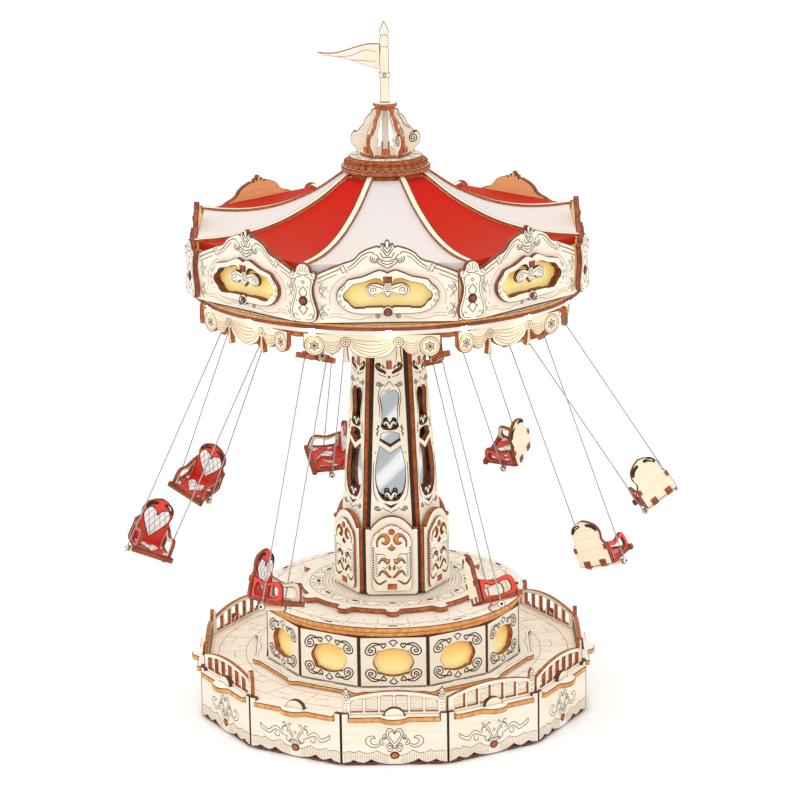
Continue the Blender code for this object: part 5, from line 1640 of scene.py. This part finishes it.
@dataclass
class Roof:
    """Hollow-curved printed sheets, red and white in turn, between pale ribs."""
    sides: int = 8
    profile: tuple[Point, ...] = ((73.0, 185.1), (66.0, 185.0), (58.0, 185.5), (50.0, 186.8), (42.0, 189.0),
                                  (34.0, 192.3), (26.0, 196.5), (16.0, 203.5))
    end: float = 74.85
    thickness: float = 0.5
    clear: float = 1.25
    columns: int = 8

    def build(self) -> None:
        """Build the sheets and the ribs."""
        for side in range(self.sides):
            self.sheet(side)
        self.ribs()

    def sheet(self, side: int) -> None:
        """One sheet, hollow between two ribs, with its outer end folded down over the amber sheet.

        Args:
            side: the side that it covers, from 0 at the front; it is red where the number is odd.
        """
        line = smooth([(74.25, 185.15), *self.profile], 4)
        rows: list[list[tuple[float, float, float]]] = []
        for layer in (0.5, -0.5):
            for r, z in line:
                half = r * math.sin(math.pi / self.sides) - self.clear
                out = apothem(r, self.sides)
                row = []
                for k in range(self.columns + 1):
                    t = 2.0 * k / self.columns - 1.0
                    dip = 0.25 * (1.0 - t * t) * max(0.0, min(1.0, (73.0 - r) / 20.0, (r - 16.0) / 12.0))
                    row.append((t * half, z - dip + layer * self.thickness, out))
                rows.append(row)
        n, w = len(line), self.columns + 1
        points = [p for row in rows for p in row]
        up, low = np.arange(2 * n * w).reshape(2, n, w).tolist()
        cells = [(i, k) for i in range(n - 1) for k in range(w - 1)]
        faces = [(up[i][k], up[i][k + 1], up[i + 1][k + 1], up[i + 1][k]) for i, k in cells]
        faces += [(low[i + 1][k], low[i + 1][k + 1], low[i][k + 1], low[i][k]) for i, k in cells]
        for i in range(n - 1):
            faces += [(up[i + 1][0], low[i + 1][0], low[i][0], up[i][0]),
                      (up[i][-1], low[i][-1], low[i + 1][-1], up[i + 1][-1])]
        for k in range(w - 1):
            faces += [(up[0][k], low[0][k], low[0][k + 1], up[0][k + 1]),
                      (up[-1][k + 1], low[-1][k + 1], low[-1][k], up[-1][k])]
        red = side % 2 == 1
        work = Stock().add(points, faces, Cut.FACE)
        half = 74.2 * math.sin(math.pi / self.sides) - self.clear
        flap = Stock().cut([box(0.0, 184.0, 2.0 * half, 2.7)], 0.12, apothem(74.25, self.sides) + 0.01, 0.02,
                           edge=Cut.FACE)
        work.place(flap)
        Stock().place(work, board_at(EIGHTH * side, 0.0)).piece(
            f"roof_sheet_{side + 1}", "canopy", "red_sheet" if red else "white_sheet",
                                                                (RED_SHEET if red else WHITE_SHEET,),
            [f"roof_panel_{side + 1}"])

    def ribs(self) -> None:
        """Eight fins under the joints, a pale strip along the top of each, and the ring that they meet in."""
        curve = smooth(self.profile, 4)
        fin = [(67.0, 164.65), (72.4, 164.65), (72.4, 184.66), (self.end - 0.1, 184.66),
               (self.end - 0.1, 185.5)]
        fin += [(r, z + 0.4) for r, z in curve] + [(13.6, 204.4), (13.6, 201.4)]
        fin += [(r, z - 2.6) for r, z in reversed(curve) if 15.0 < r < 66.0] + [(67.0, 180.0)]
        work = Stock().cut([fin], 1.8, bevel=0.12)
        top = [(self.end, 185.05), *curve, (14.4, 204.4)]
        half, rise = 1.2, 1.15
        strip: list[tuple[float, float, float]] = []
        for r, z in top:
            strip += [(r, z + rise, -half), (r, z + rise, half), (r, z + 0.35, half), (r, z + 0.35, -half)]
        faces, slots = [], []
        for i in range(len(top) - 1):
            a, b = 4 * i, 4 * i + 4
            faces += [(a, b, b + 1, a + 1), (a + 1, b + 1, b + 2, a + 2), (a + 2, b + 2, b + 3, a + 3),
                      (a + 3, b + 3, b, a)]
            slots += [Cut.FACE.value, Cut.EDGE.value, Cut.EDGE.value, Cut.EDGE.value]
        faces += [(3, 0, 1, 2), (4 * len(top) - 1, 4 * len(top) - 2, 4 * len(top) - 3, 4 * len(top) - 4)]
        slots += [Cut.EDGE.value] * 2
        work.add(strip, faces, slots, np.array([(r, w, 0.3) for r, _, w in strip]))
        for edge, reach in ((half - 0.28, half - 0.02), (0.02 - half, 0.28 - half)):
            rows = [((r, z + rise + 0.02, edge), (r, z + rise + 0.02, reach)) for r, z in top]
            work.add([q for row in rows for q in row], [(2 * i, 2 * i + 2, 2 * i + 3, 2 * i + 1)
                                                        for i in range(len(rows) - 1)],
                     Cut.BURN)
        stock = Stock()
        for side in range(self.sides):
            stock.place(work, fin_at(EIGHTH * (side + 0.5)))
        stock.place(Stock().cut([disc(14.0, 48), disc(2.6, 16)], 2.4), level(203.9))
        stock.piece("roof_rib_strips", "canopy", "plywood", (HONEY_FACE, EDGE, BURN, FAINT), ["roof_ribs"])


@dataclass
class Crown:
    """Stacked discs, the lantern of scrolled brackets, and the flag on top."""
    lantern_foot: float = 211.1
    lantern_top: float = 230.0
    half_pole: float = 1.65

    def build(self) -> None:
        """Build the three parts of the crown."""
        self.discs()
        self.lantern()
        self.flag()

    def discs(self) -> None:
        """A plain disc, a toothed one and a smaller cap."""
        teeth: Loop = []
        for i in range(32):
            a = 11.25 * i
            teeth += [polar(15.5, a - 3.4), polar(15.5, a + 3.4), polar(14.5, a + 4.2), polar(14.5, a + 7.05)]
        low = Stock().cut([disc(16.38, 64)], 1.8).burn([hoop(15.9, 64)], 0.2, 0.9)
        cap = Stock().cut([disc(13.7, 56)], 1.8)
        petals = [closed(petal(0.0, 10.1, 1.2, 2.6)), [(1.3, 10.4), (1.9, 11.6), (1.5, 12.6)],
                  [(-1.3, 10.4), (-1.9, 11.6), (-1.5, 12.6)]]
        for i in range(12):
            cap.burn(moved(petals, turn=30.0 * i), 0.2, 0.9)
        cap.burn([hoop(13.1, 56)], 0.2, 0.9, Cut.EXTRA)
        stock = Stock().place(low, level(206.3)).place(Stock().cut([teeth], 1.8, face=Cut.EDGE), level(208.1))
        stock.place(cap, level(209.85))
        stock.piece("crown_stack", "canopy", "plywood", WOOD, ["crown_discs"])

    def lantern(self) -> None:
        """Six scrolled brackets that lean to a two-layer collar around a square post."""
        side = smooth([(7.2, 0.0), (9.4, 0.0), (10.4, 0.8), (10.8, 2.2), (12.0, 3.4), (12.75, 5.2),
                       (12.6, 7.2), (11.6, 8.4), (10.3, 8.6), (9.2, 10.0), (8.0, 11.2), (7.4, 13.0),
                       (6.2, 14.4), (5.2, 15.2), (4.4, 16.8)], 2)
        side += [(3.0, 16.8), (3.1, 13.8), (4.6, 12.0), (5.4, 10.2), (6.4, 8.4), (6.9, 6.0), (6.4, 3.6),
                 (6.9, 1.6)]
        foot = self.lantern_foot
        bracket = Stock().cut([[(x, foot + y) for x, y in side]], 1.6, bevel=0.16)
        bracket.burn(moved(volute(10.1, 5.9, 1.5, 30.0), y=foot), 0.28, 0.8)
        bracket.burn(moved([smooth([(8.9, 9.4), (7.0, 10.9), (5.8, 13.2), (4.2, 15.2)], 3)], y=foot), 0.22,
                     0.8)
        stock = Stock().place(Stock().cut([disc(9.4, 40)], 1.0, bevel=0.12), level(foot + 0.5))
        knob = Stock().cut([ring(4.2, foot + 15.6, 1.0, 14)], 1.2, bevel=0.14)
        block = Stock().cut([box(7.4, foot + 1.8, 2.4, 2.4)], 3.0, 0.0, 0.2, Cut.EDGE)
        for i in range(6):
            spot = fin_at(60.0 * (i + 0.5))
            stock.place(bracket, spot).place(knob, spot)
            stock.place(block, fin_at(60.0 * i))
        collar = Stock().cut([disc(4.4, 32)], 1.2, bevel=0.14)
        stock.place(collar, level(self.lantern_top - 0.6))
        stock.place(Stock().cut([disc(3.7, 32)], 1.2, bevel=0.14), level(self.lantern_top - 1.8))
        head = self.lantern_top - 1.0
        post = Stock().cut([box(0.0, 0.5 * (foot + head), 2.2, head - foot)], 2.2, 0.0, 0.15, upright=True)
        stock.place(post, board_at(0.0, 0.0))
        stock.piece("lantern_brackets", "canopy", "plywood", WOOD, ["lantern"])

    def flag(self) -> None:
        """Flat pole with beads and a swallow-tailed pennant."""
        half, foot = self.half_pole, self.lantern_top + 0.3
        right = [(half, foot), (half, 238.8), (half + 0.35, 239.3), (half + 0.45, 240.2),
                 (half + 0.35, 241.0), (half, 241.5), (half, 249.8), (half - 0.35, 250.6), (half, 251.4),
                 (half, 253.6), (half - 0.5, 254.8), (half + 0.1, 256.0), (half - 0.2, 257.2), (0.9, 258.3),
                 (0.0, 259.95)]
        left = [(-0.9, 258.3), (-half + 0.2, 257.2), (-half - 0.1, 256.0), (-half + 0.5, 254.8),
                (-half, 253.6), (-half + 0.1, 250.8)]
        reach = 24.35 - half
        upper = [(-half - reach * t, 250.6 + 1.3 * math.sin(4.9 * t + 0.9) - 1.0 * t)
                 for t in (i / 16 for i in range(17))]
        lower = [(-half - reach * t, 243.6 + 1.4 * math.sin(4.3 * t - 1.0) + 4.6 * t * t)
                 for t in (i / 16 for i in range(14, -1, -1))]
        end = [(-half, 241.5), (-half - 0.35, 241.0), (-half - 0.45, 240.2), (-half - 0.35, 239.3),
               (-half, 238.8), (-half, foot)]
        board = Stock().cut([right + left + upper + lower + end], PLY, 0.0, 0.16, upright=True)
        lines = [[(-1.6, 239.3), (1.6, 239.3)], [(-1.6, 241.0), (1.6, 241.0)],
                 [(-1.65, 243.2), (-1.65, 250.9)], [(-1.4, 250.6), (1.4, 250.6)],
                 [(-1.2, 254.9), (1.2, 254.9)], hoop(0.55, 10, 0.0, 240.2)]
        folds = [smooth([(-2.6, 248.6), (-7.0, 249.6), (-12.0, 247.6), (-18.0, 247.2)]),
                 smooth([(-2.6, 245.2), (-7.0, 245.6), (-12.0, 246.0)])]
        for flip, turn in ((1.0, 0.0), (-1.0, math.pi)):
            marks = Stock().burn(moved(lines, flip=flip), 0.22).burn(moved(folds, flip=flip), 0.18,
                                                                     slot=Cut.EXTRA)
            board.place(marks, Matrix.Rotation(turn, 4, "Y"))
        Stock().place(board, board_at(0.0, 0.0)).piece("flag_and_pole", "canopy", "plywood", WOOD,
                                                       ["flagpole"])


def swing_frame(index: int) -> Matrix:
    """Frame at a swing's pin, X outward along the yoke, Y up along the threads and Z along the pin.

    Args:
        index: the swing, from 0.
    Returns:
        The frame at rest before the swing is flung out, in millimetres.
    """
    azimuth = EIGHTH * (index + 0.5) - 5.0
    a, b = math.radians(azimuth), math.radians(azimuth - 3.0)
    lag = math.radians((-7.6, -7.6, 7.6, -0.5, 1.2, 8.0, 5.0, 2.0)[index])
    outward = Vector((math.sin(b), -math.cos(b), 0.0))
    travel = Vector((math.cos(b), math.sin(b), 0.0))
    up = Vector((0.0, 0.0, math.cos(lag))) + travel * math.sin(lag)
    place = Matrix((outward, up, outward.cross(up))).transposed().to_4x4()
    place.translation = Vector((56.0 * math.sin(a), -56.0 * math.cos(a), 148.0))
    return place


@dataclass
class Swings:
    """Eight chairs, each on two threads from its own yoke."""
    fling: tuple[float, ...] = (23.6, 17.8, 32.1, 30.2, 26.5, 25.4, 24.2, 18.0)
    yoke_half: float = 7.8
    thread: float = 91.5
    drop: float = 89.2
    half_width: float = 7.2
    half_depth: float = 7.5
    height: float = 18.0

    def build(self) -> None:
        """Build one hanger and one chair, and hang eight of each."""
        hanger, threads, chair = self.hanger(), self.threads(), self.chair()
        for index, fling in enumerate(self.fling):
            place = swing_frame(index) @ Matrix.Rotation(math.radians(fling), 4, "Z")
            body, number = f"swing_{index + 1}", index + 1
            Stock().place(hanger, place).piece(f"yoke_{number}", body, "plywood", AMBER_WOOD,
                                               [f"swing_{number}_hanger"])
            Stock().place(threads, place).piece(f"threads_{number}", body, "steel", (THREAD,),
                                                [f"swing_{number}_hanger"])
            Stock().place(chair, place).piece(f"chair_{number}", body, "red_wood", CHAIR,
                                              [f"swing_{number}_seat"])

    def hanger(self) -> Stock:
        """Yoke with its two cross bars, and the pale dowel under the seat.

        Returns:
            The hanger in its swing's frame.
        """
        h = self.yoke_half
        yoke = whole([(0.0, -1.9), (3.0, -1.9), (h + 1.0, -1.4), (h + 1.0, 0.6), (5.0, 0.8), (2.6, 1.3),
                      (1.8, 1.9), (0.0, 2.0)])
        work = Stock().cut([yoke, disc(0.8, 10)], PLY, face=Cut.EDGE)
        bar = Stock().cut([box(0.0, 0.0, 2.0, 6.6), disc(0.35, 8)], 2.0, face=Cut.EDGE)
        for side in (-1.0, 1.0):
            work.place(bar, Matrix.Translation((side * h, -1.0, 0.0)) @ Matrix.Rotation(math.pi / 2, 4, "X"))
        end = h + 0.55
        rod = Stock().lathe([(0.0, -end), (0.85, -end), (1.08, -end + 0.3), (1.08, end - 0.3), (0.85, end),
                             (0.0, end)], steps=16)
        mark = Stock().lathe([(0.0, -end + 1.0), (1.14, -end + 1.0), (1.14, -end + 1.45), (0.0, -end + 1.45)],
                             steps=16, slot=Cut.BURN)
        eye = Stock().dots([(0.0, 0.0)], 0.5, end, Cut.BURN)
        across = Matrix.Translation((0.0, -self.thread, 0.0)) @ Matrix.Rotation(math.pi / 2, 4, "Y")
        back = across @ Matrix.Rotation(math.pi, 4, "Y")
        return work.place(rod, across).place(mark, across).place(mark, back).place(eye, across).place(eye,
            back)

    def threads(self) -> Stock:
        """The two taut threads, knotted round the dowel.

        Returns:
            The threads in their swing's frame.
        """
        work = Stock()
        for side in (-1.0, 1.0):
            x = side * self.yoke_half
            work.tube([(x, -0.6, 0.0), (x, -45.0, 0.0), (x, -self.thread + 0.8, 0.0)], 0.24, 8)
            loop = [(x, -self.thread + 1.25 * math.sin(a), 1.25 * math.cos(a))
                    for a in (math.pi * k / 8 for k in range(17))]
            work.tube(loop, 0.2, 6)
            work.lathe([(0.0, -1.0), (0.35, -0.8), (0.5, -0.2), (0.35, 0.5), (0.0, 0.7)], x, 0.0, 8)
        return work

    def chair(self) -> Stock:
        """Seat board, back with its latticed heart, arms and front rail.

        Returns:
            The chair in its swing's frame.
        """
        work = Stock()
        w, d, drop = self.half_width, self.half_depth, -self.drop
        front = d - 1.75
        tenons = [(w, -d), (w, front), (4.7, front), (4.7, d + 0.05), (2.1, d + 0.05), (2.1, front),
                  (0.0, front)]
        seat = Stock().cut([whole([(0.0, -d), *tenons])], 1.5)
        panes = [heart(0.0, -5.2, 7.4, 7.6)] + both([[(4.0, -5.6), (6.2, -5.2), (5.2, -2.6)],
                                                     [(4.4, 0.6), (6.4, 1.2), (4.9, 3.2)]])
        seat.inlay(panes, 0.75, Cut.EXTRA)
        seat.burn(self.lattice(panes[0]) + [closed(pane) for pane in panes], 0.2, 0.85)
        flat = Matrix(((1.0, 0.0, 0.0), (0.0, 0.0, 1.0), (0.0, 1.0, 0.0))).to_4x4()
        seat.faces = [face[::-1] for face in seat.faces]
        work.place(seat, Matrix.Translation((0.0, drop + 0.15, 0.0)) @ flat)
        work.place(self.back(), Matrix.Translation((0.0, drop, d - 0.9)))
        across = Matrix(((0.0, 0.0, 1.0), (0.0, 1.0, 0.0), (-1.0, 0.0, 0.0))).to_4x4()
        for side in (-1.0, 1.0):
            work.place(self.arm(side), Matrix.Translation((side * (w - 0.8), drop, d)) @ across)
        rail = whole([(0.0, -0.6), (w + 0.95, -0.6), (w + 0.95, 1.2), (w, 1.4), (3.0, 1.2), (0.0, 1.4)])
        work.place(Stock().cut([rail], 2.0, face=Cut.EDGE), Matrix.Translation((0.0, drop, -d + 0.2)))
        return work

    def lattice(self, pane: Loop) -> list[Loop]:
        """Crossed lines over a pane.

        Args:
            pane: the pane's outline, at which they end.
        Returns:
            The lines.
        """
        lines = []
        for x0, y0, x1, y1 in ((2.2 * k + s * 4.6, -6.0, 2.2 * k - s * 4.6, 14.0) for k in range(-3, 4)
                               for s in (-1, 1)):
            inside = [t / 60 for t in range(61) if within(x0 + (x1 - x0) * t / 60, y0 + (y1 - y0) * t / 60,
                                                          pane)]
            if len(inside) > 3:
                lines.append([(x0 + (x1 - x0) * t, y0 + (y1 - y0) * t) for t in (inside[0], inside[-1])])
        return lines

    def back(self) -> Stock:
        """Backrest: red and latticed in front, plain behind, with arched slots along its top.

        Returns:
            The board, its plain side to Z.
        """
        w, h = self.half_width, self.height
        half = smooth([(w - 0.05, 0.0), (w - 0.05, 0.3 * h), (w - 0.1, 0.42 * h), (0.86 * w, 0.5 * h),
                       (0.8 * w, 0.56 * h), (0.86 * w, 0.66 * h), (0.82 * w, 0.77 * h), (0.68 * w, 0.87 * h),
                       (0.46 * w, 0.93 * h), (0.3 * w, 0.965 * h), (0.0, h)], 2)
        pane = heart(0.0, 2.6, 10.4, 11.4)
        slots = both([ribbon([(1.5, 16.1), (3.1, 15.7), (4.5, 14.7), (5.1, 13.6)], 0.6, 0.9, 0.9, 0.5)])
        board = Stock().cut([whole([(0.0, 0.0), *half]), *slots], 1.6, bevel=0.26, face=Cut.REAR,
                            rear=Cut.FACE)
        rims = [closed(slot) for slot in slots]
        board.burn(rims + both([[(6.0, 6.0), (6.0, 7.6)]]), 0.4, 0.8)
        board.inlay(both([box(3.4, 1.5, 2.6, 1.5)]), 0.8, Cut.EDGE,
                    0.3).inlay(both([box(w - 0.75, 6.9, 1.3, 2.0)]), 0.8, Cut.EDGE, 0.3)
        face = Stock().inlay([pane], 0.8, Cut.EXTRA).burn(self.lattice(pane), 0.17, 0.9).burn([closed(pane)],
            0.26, 0.9)
        face.burn(rims, 0.3, 0.8)
        return board.place(face, Matrix.Rotation(math.pi, 4, "Y"))

    def arm(self, side: float) -> Stock:
        """Curved armrest with an opening, red outside and plain inside, let into back and rail.

        Args:
            side: 1 for the arm on the right, -1 for the left.
        Returns:
            The arm, seen from its right.
        """
        d = 2.0 * self.half_depth
        outer = smooth([(d, 1.2), (0.97 * d, 3.6), (0.92 * d, 6.2), (0.82 * d, 7.5), (0.68 * d, 7.3),
                        (0.5 * d, 6.5), (0.3 * d, 7.2), (1.8, 8.1)], 3)
        inner = smooth([(3.4, 1.6), (11.0, 1.6), (12.6, 2.6), (12.4, 4.8), (11.2, 5.8), (9.2, 5.4),
                        (6.6, 4.8), (4.8, 5.4), (3.6, 5.9)], 2, True)
        face, rear = (Cut.FACE, Cut.REAR) if side > 0 else (Cut.REAR, Cut.FACE)
        return Stock().cut([[(1.8, 0.0), (d, 0.0), *outer], inner], 1.4, bevel=0.2, face=face, rear=rear)


def within(x: float, y: float, loop: Loop) -> bool:
    """Whether a point lies inside a closed outline.

    Args:
        x, y: the point.
        loop: the outline.
    Returns:
        True if it does.
    """
    inside = False
    for (x0, y0), (x1, y1) in zip(loop, loop[1:] + loop[:1]):
        if (y0 > y) != (y1 > y) and x < x0 + (x1 - x0) * (y - y0) / (y1 - y0):
            inside = not inside
    return inside


@dataclass
class Studio:
    """Pale floor, soft lights and the camera."""
    target: tuple[float, float, float] = (0.0, 0.0, 0.140)
    place: tuple[float, float, float] = (0.0, -1.1898, 0.4404)
    lens: float = 148.36

    def build(self) -> None:
        """Build the stage, the lights and the camera."""
        self.floor()
        self.lights()
        self.camera()

    def floor(self) -> None:
        """A large plain floor."""
        mesh = bpy.data.meshes.new("floor")
        mesh.from_pydata([(-4.0, -4.0, 0.0), (4.0, -4.0, 0.0), (4.0, 4.0, 0.0), (-4.0, 4.0, 0.0)], [],
                         [(0, 1, 2, 3)])
        floor = bpy.data.objects.new("floor", mesh)
        bpy.context.scene.collection.objects.link(floor)
        g = Graph("studio_floor")
        cloud = g.noise(g.node("NewGeometry", None, "Position"), 3.0, 2.0)
        mesh.materials.append(g.finish(Base_Color=g.mix(cloud, (0.93, 0.93, 0.93), (0.96, 0.96, 0.96)),
                                       Roughness=0.8))

    def light(self, name: str, place: Sequence[float], size: float, power: float, colour: Colour) -> None:
        """A soft square lamp aimed at the model.

        Args:
            name: its name.
            place: where it hangs, in metres.
            size: its side.
            power: its power in watts.
            colour: its colour.
        """
        data = bpy.data.lights.new(name, "AREA")
        data.size, data.energy, data.color = size, power, colour
        lamp = bpy.data.objects.new(name, data)
        lamp.location = place
        lamp.rotation_euler = (Vector(self.target) - Vector(place)).to_track_quat("-Z", "Y").to_euler()
        bpy.context.scene.collection.objects.link(lamp)

    def lights(self) -> None:
        """White surroundings, a large key from the upper left and a fill from the right."""
        world = bpy.data.worlds.new("studio")
        bpy.context.scene.world = world
        world.use_nodes = True
        sky = world.node_tree.nodes["Background"].inputs
        sky["Color"].default_value, sky["Strength"].default_value = (1.0, 1.0, 1.0, 1.0), 1.12
        self.light("key", (-0.7, -0.9, 1.1), 0.9, 2.5, (1.0, 0.99, 0.97))
        self.light("fill", (1.1, -0.8, 0.6), 1.0, 1.0, (1.0, 0.99, 0.98))
        self.light("top", (0.0, -0.1, 1.5), 0.8, 4.0, (1.0, 0.99, 0.97))
        bpy.context.scene.view_settings.view_transform = "Standard"

    def camera(self) -> None:
        """The photograph's camera: long lens, a little above, with a slight roll."""
        data = bpy.data.cameras.new("camera")
        data.lens, data.sensor_width = self.lens, 36.0
        camera = bpy.data.objects.new("camera", data)
        aim = Matrix.Rotation(math.radians(-0.19), 4, "Z") @ Matrix.Rotation(math.radians(90.0 - 15.19), 4,
            "X")
        camera.matrix_world = Matrix.Translation(self.place) @ aim @ Matrix.Rotation(math.radians(-0.83), 4,
            "Z")
        bpy.context.scene.collection.objects.link(camera)
        bpy.context.scene.camera = camera


def main() -> None:
    """Build the whole model, one sub-assembly after the other."""
    logging.basicConfig(level=logging.INFO, format="%(name)s: %(message)s")
    for assembly in (Studio(), Base(), Drum(), Column(), Canopy(), Friezes(), Roof(), Crown(), Swings()):
        LOG.info("building %s", type(assembly).__name__)
        assembly.build()


if __name__ == "__main__":
    main()
